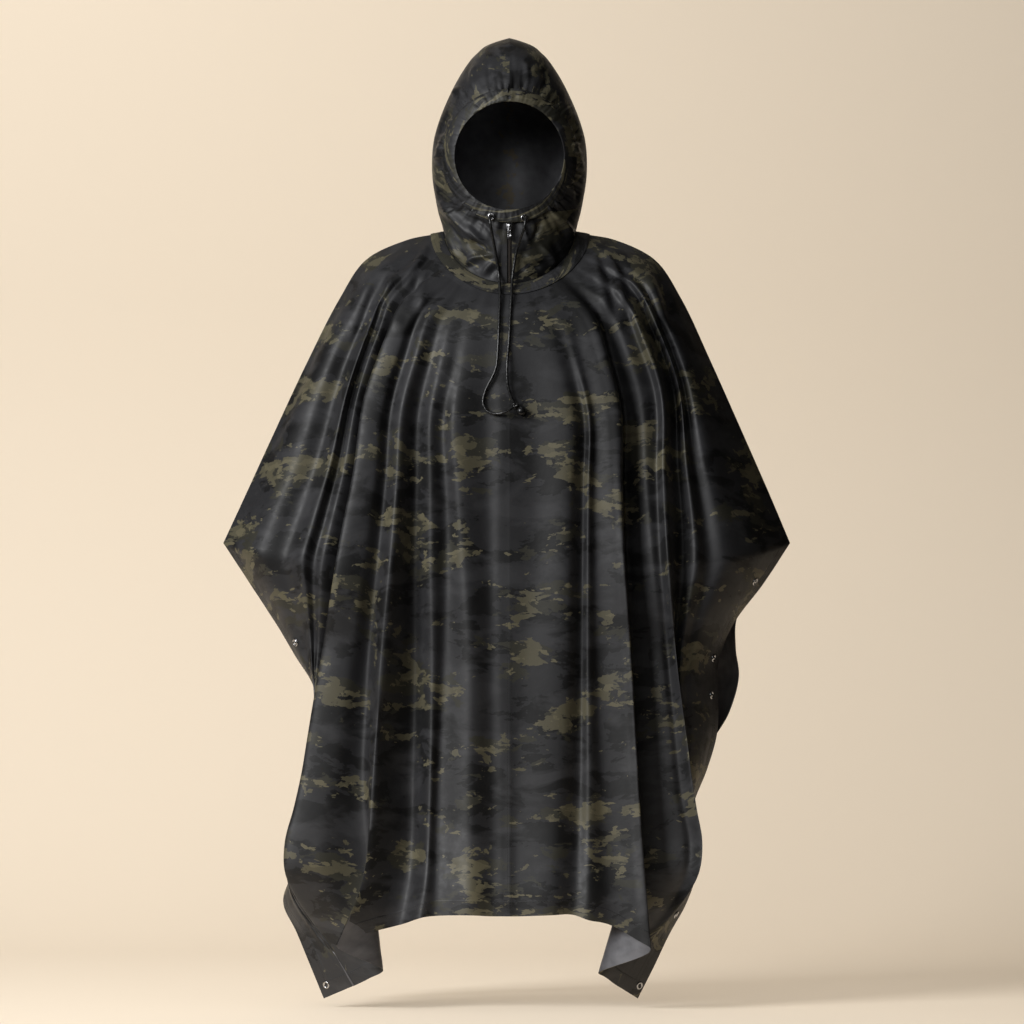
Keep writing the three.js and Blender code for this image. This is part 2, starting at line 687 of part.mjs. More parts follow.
const sliderWidth = 9;
const sliderHeight = 11;
const sliderDepth = 3;
const sliderZ = 16;
const throatZ = upperRings[0].front;
const sliderTopShare = (sliderZ + sliderHeight / 2 - throatZ) / (faceBottomZ - throatZ);
const sliderBackY = throatPoint(1, sliderTopShare, 0).point.y - chainProud - layerGap;
const sliderShape = new THREE.Shape();
sliderShape.moveTo(-sliderWidth / 2, sliderHeight / 2);
sliderShape.lineTo(-sliderWidth * 0.32, -sliderHeight / 2);
sliderShape.lineTo(sliderWidth * 0.32, -sliderHeight / 2);
sliderShape.lineTo(sliderWidth / 2, sliderHeight / 2);
sliderShape.closePath();
const slider = addPiece(
  "zip_slider",
  new THREE.ExtrudeGeometry(sliderShape, { depth: sliderDepth, bevelEnabled: false }),
  plating,
);
slider.rotation.x = Math.PI / 2;
slider.position.set(0, sliderBackY, sliderZ);

const pullWidth = 6;
const pullLength = 20;
const pullThickness = 1.3;
const pullClearance = 0.4;
const pullTop = 0.6;
const pullShape = new THREE.Shape();
pullShape.moveTo(-pullWidth * 0.3, pullTop);
pullShape.lineTo(pullWidth * 0.3, pullTop);
pullShape.lineTo(pullWidth / 2, pullTop - pullLength + pullWidth / 2);
pullShape.absarc(0, pullTop - pullLength + pullWidth / 2, pullWidth / 2, 0, -Math.PI, true);
pullShape.closePath();
const pull = addPiece(
  "zip_pull",
  new THREE.ExtrudeGeometry(pullShape, { depth: pullThickness, bevelEnabled: false, curveSegments: 8 }),
  plating,
);
pull.rotation.x = Math.PI / 2;
pull.position.set(0, sliderBackY - sliderDepth - pullClearance, sliderZ);

// Round hardware, turned about its own axis, seated along a normal
function ringProfile(outer, hole, height) {
  const half = outer / 2;
  return [
    new THREE.Vector2(hole / 2, 0),
    new THREE.Vector2(half, 0),
    new THREE.Vector2(half, height * 0.5),
    new THREE.Vector2(half - height * 0.5, height),
    new THREE.Vector2(hole / 2, height),
    new THREE.Vector2(hole / 2, 0),
  ];
}
function capProfile(outer, height) {
  const half = outer / 2;
  return [
    new THREE.Vector2(0, 0),
    new THREE.Vector2(half, 0),
    new THREE.Vector2(half, height * 0.4),
    new THREE.Vector2(half * 0.75, height),
    new THREE.Vector2(0, height),
  ];
}
const roundSides = 10;
function addRound(name, profile, { point, normal }, lift) {
  const mesh = addPiece(name, new THREE.LatheGeometry(profile, roundSides), plating);
  mesh.quaternion.setFromUnitVectors(new THREE.Vector3(0, 1, 0), normal);
  mesh.position.copy(point.clone().addScaledVector(normal, lift));
  return mesh;
}

const fastenerLift = 0.85;
const snapPlaces = [
  { name: "snap_front_left", panel: "front_left", down: 0.49, across: 0.94 },
  { name: "snap_front_right_upper", panel: "front_right", down: 0.42, across: 0.968 },
  { name: "snap_front_right_middle", panel: "front_right", down: 0.515, across: 0.965 },
  { name: "snap_front_right_lower", panel: "front_right", down: 0.57, across: 0.965 },
  { name: "snap_front_right_hem", panel: "front_right", down: 0.878, across: 0.935, lift: 1.3 },
  { name: "snap_back_left", panel: "back_left", down: 0.49, across: 0.94 },
  { name: "snap_back_right_upper", panel: "back_right", down: 0.42, across: 0.94 },
  { name: "snap_back_right_middle", panel: "back_right", down: 0.515, across: 0.95 },
  { name: "snap_back_right_lower", panel: "back_right", down: 0.57, across: 0.95 },
];
for (const place of snapPlaces) {
  const seat = placeOn(place.panel, place.down, place.across);
  addRound(place.name, capProfile(snapDiameter, snapHeight), seat, place.lift ?? fastenerLift);
}
for (const panel of Object.keys(panels)) {
  const seat = placeOn(panel, 0.984, 0.962);
  addRound(`grommet_${panel}`, ringProfile(grommetDiameter, grommetHole, 1.6), seat, fastenerLift);
}

const eyeletPlaces = [
  { name: "eyelet_left", x: -28, z: 33 },
  { name: "eyelet_right", x: 23, z: 31 },
];
for (const { name, x, z } of eyeletPlaces) {
  const section = hoodSection(faceBottomZ);
  const y = hoodFrontY(x, z);
  const normal = new THREE.Vector3(x / section.half ** 2, y / section.front ** 2, 0).normalize();
  const seat = { point: new THREE.Vector3(x, y, z), normal };
  const lift = layerGap + casingThickness + 2 * gatherHeight + layerGap;
  addRound(name, ringProfile(eyeletDiameter, eyeletHole, 1.5), seat, lift);
}

// Drawcord: the free strands as they hang from the eyelets to the knot, by hand
const cordRoutes = {
  drawcord_left: [
    [-29, -106.4, 33], [-30.2, -112, 33], [-30.8, -118.3, 30], [-30.4, -121, 22.5], [-28.8, -118.8, 12],
    [-26, -111.5, -3], [-22.5, -103, -21], [-19.5, -97.5, -40], [-17, -97, -58], [-15.6, -105, -76],
    [-15, -115.6, -94], [-16, -127.5, -120], [-17, -139.2, -150], [-18.4, -145.6, -180], [-21, -149.2, -206],
    [-27, -150.6, -222], [-34.5, -149.8, -236], [-40, -149.4, -250], [-41.6, -150.2, -264],
    [-35, -152.8, -276], [-22, -156, -280], [-9, -160.2, -278], [-1, -159.4, -274.5], [4.8, -156, -269.6],
  ],
  drawcord_right: [
    [24, -107.3, 31], [25, -112.5, 31], [25.4, -118.6, 28], [24.4, -121, 20.5], [21.8, -118.4, 10.5],
    [17.4, -111.5, -1], [12.8, -104, -15], [9.2, -99.8, -31], [6.8, -98.8, -47], [4.8, -99, -62],
    [3.6, -106, -77], [3, -115.6, -94], [1.4, -126.6, -122], [0.2, -136.8, -148], [-1.6, -143.2, -174],
    [-3.8, -152.2, -204], [-3.6, -154, -226], [-1.2, -154, -242], [3.2, -153.6, -255], [6.4, -153.6, -262],
  ],
};
const cordSides = 8;
const cordStep = 12;
const cordSection = new THREE.Shape(
  Array.from({ length: cordSides }, (_, i) => {
    const angle = (2 * Math.PI * i) / cordSides;
    return new THREE.Vector2(Math.cos(angle), Math.sin(angle)).multiplyScalar(cordDiameter / 2);
  }),
);
for (const [name, route] of Object.entries(cordRoutes)) {
  const points = route.map((point) => new THREE.Vector3(...point));
  const extrudePath = new THREE.CatmullRomCurve3(points, false, "centripetal");
  const steps = Math.round(extrudePath.getLength() / cordStep);
  addPiece(
    name,
    new THREE.ExtrudeGeometry(cordSection, { steps, extrudePath, bevelEnabled: false }),
    cordCover,
  );
}
const knotDiameter = 10;
const cordBeads = [
  { name: "cord_knot", diameter: knotDiameter, at: [9, -154, -267] },
  { name: "cord_lock", diameter: cordLockDiameter, at: [18.9, -154.1, -275.9] },
];
for (const { name, diameter, at } of cordBeads) {
  addPiece(name, new THREE.SphereGeometry(diameter / 2, 12, 8), cordCover).position.set(...at);
}

export default poncho;
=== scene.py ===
import math

import bpy
import numpy as np
from mathutils import Matrix, Vector, noise
from mathutils.bvhtree import BVHTree


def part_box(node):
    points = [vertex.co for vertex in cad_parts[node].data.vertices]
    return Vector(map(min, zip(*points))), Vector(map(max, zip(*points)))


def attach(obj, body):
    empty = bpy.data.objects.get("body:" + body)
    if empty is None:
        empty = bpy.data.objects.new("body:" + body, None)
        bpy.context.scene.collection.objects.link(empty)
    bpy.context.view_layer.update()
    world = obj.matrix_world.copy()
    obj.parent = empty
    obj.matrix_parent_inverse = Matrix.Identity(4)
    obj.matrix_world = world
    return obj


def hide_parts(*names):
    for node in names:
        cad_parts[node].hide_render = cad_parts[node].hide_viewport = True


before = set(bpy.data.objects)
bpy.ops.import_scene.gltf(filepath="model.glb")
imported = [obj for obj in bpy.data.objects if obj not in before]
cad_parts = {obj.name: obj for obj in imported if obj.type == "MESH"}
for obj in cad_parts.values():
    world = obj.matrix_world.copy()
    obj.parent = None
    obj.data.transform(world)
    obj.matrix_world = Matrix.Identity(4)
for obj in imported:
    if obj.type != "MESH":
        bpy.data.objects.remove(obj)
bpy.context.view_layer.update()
mm = 0.001
garment = "garment"
# a face counts as square to an axis when its normal has more than this along it
squareOn = 0.9


def addObject(name, data):
    made = bpy.data.objects.new(name, data)
    bpy.context.scene.collection.objects.link(made)
    return made


# Camera, level with the waist and far away, as in the product photograph
cameraSetup = {"x": 4, "y": -12000, "z": -435.2, "seenWidth": 1638.4, "sensor": 36}


def addCamera(setup):
    data = bpy.data.cameras.new("productCamera")
    data.sensor_width = setup["sensor"]
    data.lens = setup["sensor"] * -setup["y"] / setup["seenWidth"]
    data.clip_start = 0.1
    data.clip_end = 60
    camera = addObject("productCamera", data)
    camera.location = (setup["x"] * mm, setup["y"] * mm, setup["z"] * mm)
    camera.rotation_euler = (math.radians(90), 0, 0)
    bpy.context.scene.camera = camera


addCamera(cameraSetup)
bpy.context.scene.view_settings.view_transform = "Standard"
print("camera placed")


# Small sums and curves
def mix(low, high, share):
    return low + (high - low) * share


def clamp(value, low=0.0, high=1.0):
    return np.minimum(np.maximum(value, low), high)


def easeStep(low, high, value):
    share = clamp((value - low) / (high - low))
    return share * share * (3 - 2 * share)


def throughValues(places, values, at):
    # a smooth curve through values given at rising or falling places
    last = len(places) - 1
    rising = places[last] > places[0]
    at = min(max(at, min(places[0], places[last])), max(places[0], places[last]))
    span = 0
    while span < last - 1 and (at > places[span + 1] if rising else at < places[span + 1]):
        span += 1

    def slope(i):
        before, after = max(i - 1, 0), min(i + 1, last)
        return (values[after] - values[before]) / (places[after] - places[before])

    width = places[span + 1] - places[span]
    t = (at - places[span]) / width
    return (
        values[span] * (2 * t**3 - 3 * t**2 + 1)
        + slope(span) * width * (t**3 - 2 * t**2 + t)
        + values[span + 1] * (3 * t**2 - 2 * t**3)
        + slope(span + 1) * width * (t**3 - t**2)
    )


def smoothThrough(points, steps):
    # centripetal curves along the first axis, with the same number of steps in every span
    points = np.asarray(points, float)
    ends = [2 * points[0] - points[1]], [2 * points[-1] - points[-2]]
    padded = np.concatenate([ends[0], points, ends[1]])
    gaps = np.maximum(np.sqrt(np.linalg.norm(np.diff(padded, axis=0), axis=-1)), 1e-4)[..., None]
    made = []
    for span in range(len(points) - 1):
        p0, p1, p2, p3 = padded[span : span + 4]
        d0, d1, d2 = gaps[span : span + 3]
        leave = ((p1 - p0) / d0 - (p2 - p0) / (d0 + d1) + (p2 - p1) / d1) * d1
        reach = ((p2 - p1) / d1 - (p3 - p1) / (d1 + d2) + (p3 - p2) / d2) * d1
        for step in range(steps):
            t = step / steps
            made.append(
                p1
                + leave * t
                + (-3 * p1 + 3 * p2 - 2 * leave - reach) * t**2
                + (2 * p1 - 2 * p2 + leave + reach) * t**3
            )
    made.append(points[-1])
    return np.array(made)


def reachOf(points):
    # how far along a line each of its points lies
    return np.concatenate([[0], np.cumsum(np.linalg.norm(np.diff(points, axis=0), axis=1))])


def lineAt(points, reach, at):
    return np.stack([np.interp(at, reach, points[:, i]) for i in range(3)], -1)


def unit(vectors):
    return vectors / np.maximum(np.linalg.norm(vectors, axis=-1, keepdims=True), 1e-9)


# Materials
def toLinear(hexColour):
    made = []
    for start in (1, 3, 5):
        value = int(hexColour[start : start + 2], 16) / 255
        made.append(value / 12.92 if value <= 0.04045 else ((value + 0.055) / 1.055) ** 2.4)
    return (*made, 1.0)


def addNode(tree, kind, settings=None, inputs=None, output=0):
    # a new node with its settings and inputs; what comes back is one of its outputs
    node = tree.nodes.new(kind)
    for name, value in (settings or {}).items():
        setattr(node, name, value)
    for name, value in (inputs or {}).items():
        socket = node.inputs[name]
        if isinstance(value, bpy.types.NodeSocket):
            tree.links.new(value, socket)
        else:
            socket.default_value = value
    return node.outputs[output]


def flatPlace(tree):
    return addNode(tree, "ShaderNodeUVMap", {"uv_map": "flatCloth"})


def objectPlace(tree):
    return addNode(tree, "ShaderNodeTexCoord", output="Object")


def addNoise(tree, place, scale, detail, rough=0.5):
    inputs = {"Vector": place, "Scale": scale, "Detail": detail, "Roughness": rough}
    return addNode(tree, "ShaderNodeTexNoise", inputs=inputs)


def addMath(tree, operation, *values):
    return addNode(tree, "ShaderNodeMath", {"operation": operation}, dict(enumerate(values)))


def addRange(tree, value, low, high, toLow=0.0, toHigh=1.0):
    return addNode(tree, "ShaderNodeMapRange", inputs={0: value, 1: low, 2: high, 3: toLow, 4: toHigh})


def addOver(tree, base, colour, share):
    inputs = {0: share, 6: base, 7: toLinear(colour)}
    return addNode(tree, "ShaderNodeMix", {"data_type": "RGBA"}, inputs, output=2)


def addRamp(tree, value, stops):
    ramp = addNode(tree, "ShaderNodeValToRGB", inputs={0: value})
    for element, (place, colour) in zip(ramp.node.color_ramp.elements, stops):
        element.position = place
        element.color = toLinear(colour)
    return ramp


def addBump(tree, height, strength, distance, under=None):
    inputs = {"Height": height, "Strength": strength, "Distance": distance}
    if under is not None:
        inputs["Normal"] = under
    return addNode(tree, "ShaderNodeBump", inputs=inputs)


def newMaterial(name, shaderInputs):
    material = bpy.data.materials.new(name)
    material.use_nodes = True
    tree = material.node_tree
    shader = tree.nodes["Principled BSDF"]
    for socket, value in shaderInputs.items():
        shader.inputs[socket].default_value = value
    return material, tree, shader


# Blotches of a generic dark camouflage, in millimetres on the flat cloth
blotchCloth = {
    "ground": "#2a2a2c",
    "haze": {"colour": "#353537", "offset": 7.7, "size": 0.45, "from": 0.5, "to": 0.64},
    "shade": {
        "colour": "#171718", "offset": 3.1, "size": 0.6, "detail": 5, "rough": 0.6,
        "gathering": 0.5, "cluster": 8.8, "from": 0.76, "to": 0.775,
    },
    "olive": {
        "colour": "#33322b", "offset": 1.3, "size": 0.75, "detail": 6, "rough": 0.62,
        "gathering": 0.7, "cluster": 2.2, "from": 0.965, "to": 0.98,
    },
    "khaki": {
        "colour": "#555141", "offset": 5.2, "size": 0.95, "detail": 5, "rough": 0.58,
        "gathering": 0.7, "cluster": 2.2, "from": 1.01, "to": 1.02,
    },
    "paleKhaki": {
        "colour": "#625d4a", "offset": 9.4, "size": 1.6, "detail": 4, "rough": 0.55,
        "gathering": 0.7, "cluster": 2.2, "from": 1.06, "to": 1.075,
    },
    "blotchLength": 48,
    "clusterLength": 150,
    "blotchShape": 2.1,
    "crinkle": 16,
    "grain": 1.6,
    "roughness": 0.45,
    "specular": 0.38,
    "gloss": (0.46, 0.6),
    "hemStep": (0.0225, 0.0245),
}


def coatedCloth(name, look):
    # polyester taffeta under a clear waterproof coating: a satin gloss that breaks on the crinkles
    shaderInputs = {"IOR": 1.5, "Roughness": look["roughness"], "Specular IOR Level": look["specular"]}
    material, tree, shader = newMaterial(name, shaderInputs)
    flat = flatPlace(tree)
    stretch = {"Vector": flat, "Scale": (1, look["blotchShape"], 1)}
    stretched = addNode(tree, "ShaderNodeMapping", inputs=stretch)
    perMetre = 1000 / look["blotchLength"]
    clustersPerMetre = 1000 / look["clusterLength"]

    def field(offset, scale, detail, rough, warp):
        shift = {0: stretched, 1: (offset, -offset, 0)}
        moved = addNode(tree, "ShaderNodeVectorMath", {"operation": "ADD"}, shift)
        inputs = {"Vector": moved, "Scale": scale, "Detail": detail, "Roughness": rough, "Distortion": warp}
        return addNode(tree, "ShaderNodeTexNoise", {"noise_dimensions": "2D"}, inputs)

    def blotches(base, kind):
        # ragged blotches that stand together where a slower noise is high
        spot = look[kind]
        shape = field(spot["offset"], perMetre * spot["size"], spot["detail"], spot["rough"], 0.25)
        slow = field(spot["cluster"], clustersPerMetre, 1, 0.5, 0.0)
        level = addMath(tree, "MULTIPLY_ADD", slow, spot["gathering"], shape)
        return addOver(tree, base, spot["colour"], addRange(tree, level, spot["from"], spot["to"]))

    colour = blotches(toLinear(look["ground"]), "shade")
    haze = look["haze"]
    level = field(haze["offset"], perMetre * haze["size"], 4, 0.55, 0.3)
    colour = addOver(tree, colour, haze["colour"], addRange(tree, level, haze["from"], haze["to"]))
    for kind in ("olive", "khaki", "paleKhaki"):
        colour = blotches(colour, kind)
    tree.links.new(colour, shader.inputs["Base Color"])
    crinkle = addNoise(tree, flat, 1000 / look["crinkle"], 4, 0.55)
    tree.links.new(addRange(tree, crinkle, 0.3, 0.7, *look["gloss"]), shader.inputs["Roughness"])
    soft = addBump(tree, crinkle, 0.25, 0.0012)
    fine = addBump(tree, addNoise(tree, flat, 1000 / look["grain"], 1), 0.12, 0.0002, soft)
    # the edge of the turned hem shows through as a small step
    fromHem = addNode(tree, "ShaderNodeAttribute", {"attribute_name": "hemDistance"}, output="Fac")
    hem = addBump(tree, addRange(tree, fromHem, *look["hemStep"], 1.0, 0.0), 0.6, 0.0008, fine)
    tree.links.new(hem, shader.inputs["Normal"])
    return material


liningLook = {"colour": "#505054", "worn": "#636367", "crinkle": 22}
hoodLiningLook = {
    "colour": "#58585b", "worn": "#69696c", "crinkle": 22, "seamColour": "#6b6250", "seamReach": 42,
}


def coatedLining(name, look):
    # the silver-grey coated back of the cloth: duller, with a dusty metallic cast
    material, tree, shader = newMaterial(name, {"IOR": 1.5, "Roughness": 0.46, "Metallic": 0.25})
    crinkle = addNoise(tree, flatPlace(tree), 1000 / look["crinkle"], 5)
    colour = addRamp(tree, crinkle, [(0.35, look["colour"]), (0.65, look["worn"])])
    if "seamColour" in look:
        # the print strikes through beside the back seam of the hood, which lies at x = 0
        place = objectPlace(tree)
        x = addNode(tree, "ShaderNodeSeparateXYZ", inputs={0: place}, output="X")
        near = addRange(tree, addMath(tree, "ABSOLUTE", x), 0.004, look["seamReach"] * mm, 0.05, -0.14)
        level = addMath(tree, "ADD", addNoise(tree, place, 52.0, 5, 0.6), near)
        colour = addOver(tree, colour, look["seamColour"], addRange(tree, level, 0.6, 0.63))
    tree.links.new(colour, shader.inputs["Base Color"])
    tree.links.new(addBump(tree, crinkle, 0.3, 0.0012), shader.inputs["Normal"])
    return material


def platedMetal(name, colour, roughness):
    # nickel-plated brass: bright, with faint handling marks
    material, tree, shader = newMaterial(name, {"Metallic": 1.0, "Roughness": roughness})
    marks = addNoise(tree, objectPlace(tree), 900.0, 3)
    tree.links.new(addRamp(tree, marks, [(0.3, colour), (0.75, "#8f8f91")]), shader.inputs["Base Color"])
    rough = addRange(tree, marks, 0.3, 0.7, roughness * 0.7, roughness * 1.5)
    tree.links.new(rough, shader.inputs["Roughness"])
    return material


def wovenCover(name, colour, light, pitch, roughness):
    # a glossy braid: two sets of yarns that cross, drawn on the cord's own UV map
    material, tree, shader = newMaterial(name, {"IOR": 1.5, "Roughness": roughness})
    flat = flatPlace(tree)
    waves = []
    for angle in (38, -38):
        turn = {"Vector": flat, "Rotation": (0, 0, math.radians(angle))}
        line = addNode(tree, "ShaderNodeMapping", inputs=turn)
        settings = {"wave_type": "BANDS", "bands_direction": "X"}
        inputs = {"Vector": line, "Scale": 1000 / pitch / 20, "Distortion": 0.4, "Detail": 1.0}
        waves.append(addNode(tree, "ShaderNodeTexWave", settings, inputs, "Fac"))
    yarn = addMath(tree, "MAXIMUM", *waves)
    tree.links.new(addRamp(tree, yarn, [(0.2, colour), (0.95, light)]), shader.inputs["Base Color"])
    tree.links.new(addBump(tree, yarn, 0.5, 0.0005), shader.inputs["Normal"])
    return material


def mouldedPlastic(name, colour, roughness):
    # acetal with a fine spark-eroded surface
    material, tree, shader = newMaterial(name, {"IOR": 1.48, "Roughness": roughness})
    grain = addNoise(tree, objectPlace(tree), 1500.0, 2)
    tree.links.new(addRamp(tree, grain, [(0.3, colour), (0.8, "#1c1c1c")]), shader.inputs["Base Color"])
    tree.links.new(addBump(tree, grain, 0.15, 0.0002), shader.inputs["Normal"])
    return material


cloth = coatedCloth("camouflageCoatedPolyester", blotchCloth)
lining = coatedLining("silverGreyCoating", liningLook)
hoodLining = coatedLining("hoodCoating", hoodLiningLook)
metal = platedMetal("nickelPlatedBrass", "#c9c9cb", 0.2)
cordCover = wovenCover("braidedPolyesterCord", "#0b0b0b", "#232323", 1.5, 0.32)
tapeCloth = wovenCover("wovenZipTape", "#171614", "#2b2926", 1.2, 0.7)
threadYarn = wovenCover("polyesterThread", "#2c2b29", "#403f3b", 0.6, 0.55)
coil = mouldedPlastic("nylonZipCoil", "#4d4238", 0.4)
lockPlastic = mouldedPlastic("mouldedAcetal", "#0d0d0d", 0.3)
print("materials made")


# Meshes, in millimetres
def newPiece(name, points, faces, materials, smooth=True):
    mesh = bpy.data.meshes.new(name)
    mesh.from_pydata((np.asarray(points) * mm).tolist(), [], [list(map(int, face)) for face in faces])
    piece = addObject(name, mesh)
    for material in materials:
        mesh.materials.append(material)
    mesh.polygons.foreach_set("use_smooth", np.full(len(mesh.polygons), smooth))
    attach(piece, garment)
    return piece


def wallPiece(name, outer, inner, flat, materials, closed=False, hem=None):
    # a closed wall between two grids: the outer side in the first material, the inner in the last;
    # hem is each point's distance from a turned hem
    rows, columns = outer.shape[:2]
    spans = columns if closed else columns - 1
    count = rows * columns
    faces, uvs, sides, smooths = [], [], [], []

    def addFaces(corners, side, smooth):
        # corners: four of (rowIndex, columnIndex, isInner), each an array of the same length
        faces.append(np.stack([inside * count + r * columns + c % columns for r, c, inside in corners], -1))
        uvs.append(np.stack([flat[r, c] for r, c, inside in corners], -2))
        sides.append(np.full(len(faces[-1]), side))
        smooths.append(np.full(len(faces[-1]), smooth))

    r, c = (a.ravel() for a in np.mgrid[0 : rows - 1, 0:spans])
    addFaces([(r, c, 0), (r + 1, c, 0), (r + 1, c + 1, 0), (r, c + 1, 0)], 0, True)
    addFaces([(r, c, 1), (r, c + 1, 1), (r + 1, c + 1, 1), (r + 1, c, 1)], 1, True)
    c = np.arange(spans)
    top, low = np.zeros_like(c), np.full_like(c, rows - 1)
    addFaces([(top, c, 0), (top, c + 1, 0), (top, c + 1, 1), (top, c, 1)], 0, False)
    addFaces([(low, c, 0), (low, c, 1), (low, c + 1, 1), (low, c + 1, 0)], 0, False)
    if not closed:
        r = np.arange(rows - 1)
        near, far = np.zeros_like(r), np.full_like(r, columns - 1)
        addFaces([(r, near, 0), (r, near, 1), (r + 1, near, 1), (r + 1, near, 0)], 0, False)
        addFaces([(r, far, 0), (r + 1, far, 0), (r + 1, far, 1), (r, far, 1)], 0, False)
    faces, uvs, sides = np.concatenate(faces), np.concatenate(uvs), np.concatenate(sides)
    points = np.concatenate([outer.reshape(-1, 3), inner.reshape(-1, 3)])
    a, b, d, e = (points[faces[:, i]] for i in range(4))
    volume = np.einsum("ij,ij->", a, np.cross(b, d)) + np.einsum("ij,ij->", a, np.cross(d, e))
    if volume < 0:
        faces, uvs = faces[:, ::-1], uvs[:, ::-1]
    piece = newPiece(name, points, faces, materials)
    mesh = piece.data
    mesh.polygons.foreach_set("material_index", sides.astype(np.int32) % len(materials))
    mesh.polygons.foreach_set("use_smooth", np.concatenate(smooths))
    mesh.uv_layers.new(name="flatCloth").data.foreach_set("uv", (uvs.reshape(-1, 2) * mm).ravel())
    if hem is not None:
        distance = np.tile(np.broadcast_to(hem, outer.shape[:2]).ravel(), 2) * mm
        mesh.attributes.new("hemDistance", "FLOAT", "POINT").data.foreach_set("value", distance)
    mesh.update()
    mesh.set_sharp_from_angle(angle=math.radians(70))
    return piece


def gridNormals(grid, closed=False, keepX=None, keepY=None):
    # outward normals; where keepX or keepY is true they have no part along that axis
    if closed:
        along = np.roll(grid, -1, axis=1) - np.roll(grid, 1, axis=1)
    else:
        padded = np.concatenate([grid[:, :1], grid, grid[:, -1:]], axis=1)
        along = padded[:, 2:] - padded[:, :-2]
    padded = np.concatenate([grid[:1], grid, grid[-1:]], axis=0)
    down = padded[2:] - padded[:-2]
    normals = unit(np.cross(along, down))
    if (normals[..., :2] * grid[..., :2]).sum() < 0:
        normals = -normals
    if keepX is not None:
        normals[keepX, 0] = 0
    if keepY is not None:
        normals[keepY, 1] = 0
    return unit(normals)


def reachAlong(grid, axis, dims=(0, 1, 2)):
    # how far each point lies along its row or column, counting only some directions
    steps = np.diff(grid[..., list(dims)], axis=axis)
    lengths = np.cumsum(np.linalg.norm(steps, axis=-1), axis=axis)
    start = np.zeros_like(np.take(lengths, [0], axis=axis))
    return np.concatenate([start, lengths], axis=axis)


def waveNoise(a, b, seed):
    # smooth noise from -1 to 1 at each pair of places
    flatA, flatB = np.broadcast_arrays(a, b)
    places = zip(flatA.ravel().tolist(), flatB.ravel().tolist())
    return np.array([noise.noise(Vector((x, y, seed))) for x, y in places]).reshape(flatA.shape)


def creaseHeight(x, z, creases):
    # ridges and dips along lines drawn on the front view: line, half width and height
    total = np.zeros_like(x)
    for points, wide, high in creases:
        line = smoothThrough(points, 6)
        reach = reachOf(line)
        nearest = np.full(x.shape, 1e9)
        place = np.zeros_like(x)
        for i in range(len(line) - 1):
            step = line[i + 1] - line[i]
            share = clamp(((x - line[i][0]) * step[0] + (z - line[i][1]) * step[1]) / (step @ step))
            away = np.hypot(x - line[i][0] - share * step[0], z - line[i][1] - share * step[1])
            closer = away < nearest
            nearest = np.where(closer, away, nearest)
            place = np.where(closer, reach[i] + share * (reach[i + 1] - reach[i]), place)
        taper = 0.3 * reach[-1]
        ends = easeStep(0, taper, place) * easeStep(0, taper, reach[-1] - place)
        total += high * np.exp(-((nearest / wide) ** 2)) * ends
    return total


# Drawcord: the same routes as in the part's source, in metres
cordLook = {
    "diameter": 0.0046,
    "sides": 14,
    "stepsPerSpan": 10,
    "routes": {
        "drawcord_left": [
            (-0.029, -0.1064, 0.033), (-0.0302, -0.112, 0.033), (-0.0308, -0.1183, 0.03),
            (-0.0304, -0.121, 0.0225), (-0.0288, -0.1188, 0.012), (-0.026, -0.1115, -0.003),
            (-0.0225, -0.103, -0.021), (-0.0195, -0.0975, -0.04), (-0.017, -0.097, -0.058),
            (-0.0156, -0.105, -0.076), (-0.015, -0.1156, -0.094), (-0.016, -0.1275, -0.12),
            (-0.017, -0.1392, -0.15), (-0.0184, -0.1456, -0.18), (-0.021, -0.1492, -0.206),
            (-0.027, -0.1506, -0.222), (-0.0345, -0.1498, -0.236), (-0.04, -0.1494, -0.25),
            (-0.0416, -0.1502, -0.264), (-0.035, -0.1528, -0.276), (-0.022, -0.156, -0.28),
            (-0.009, -0.1602, -0.278), (-0.001, -0.1594, -0.2745), (0.0048, -0.156, -0.2696),
        ],
        "drawcord_right": [
            (0.024, -0.1073, 0.031), (0.025, -0.1125, 0.031), (0.0254, -0.1186, 0.028),
            (0.0244, -0.121, 0.0205), (0.0218, -0.1184, 0.0105), (0.0174, -0.1115, -0.001),
            (0.0128, -0.104, -0.015), (0.0092, -0.0998, -0.031), (0.0068, -0.0988, -0.047),
            (0.0048, -0.099, -0.062), (0.0036, -0.106, -0.077), (0.003, -0.1156, -0.094),
            (0.0014, -0.1266, -0.122), (0.0002, -0.1368, -0.148), (-0.0016, -0.1432, -0.174),
            (-0.0038, -0.1522, -0.204), (-0.0036, -0.154, -0.226), (-0.0012, -0.154, -0.242),
            (0.0032, -0.1536, -0.255), (0.0064, -0.1536, -0.262),
        ],
    },
}


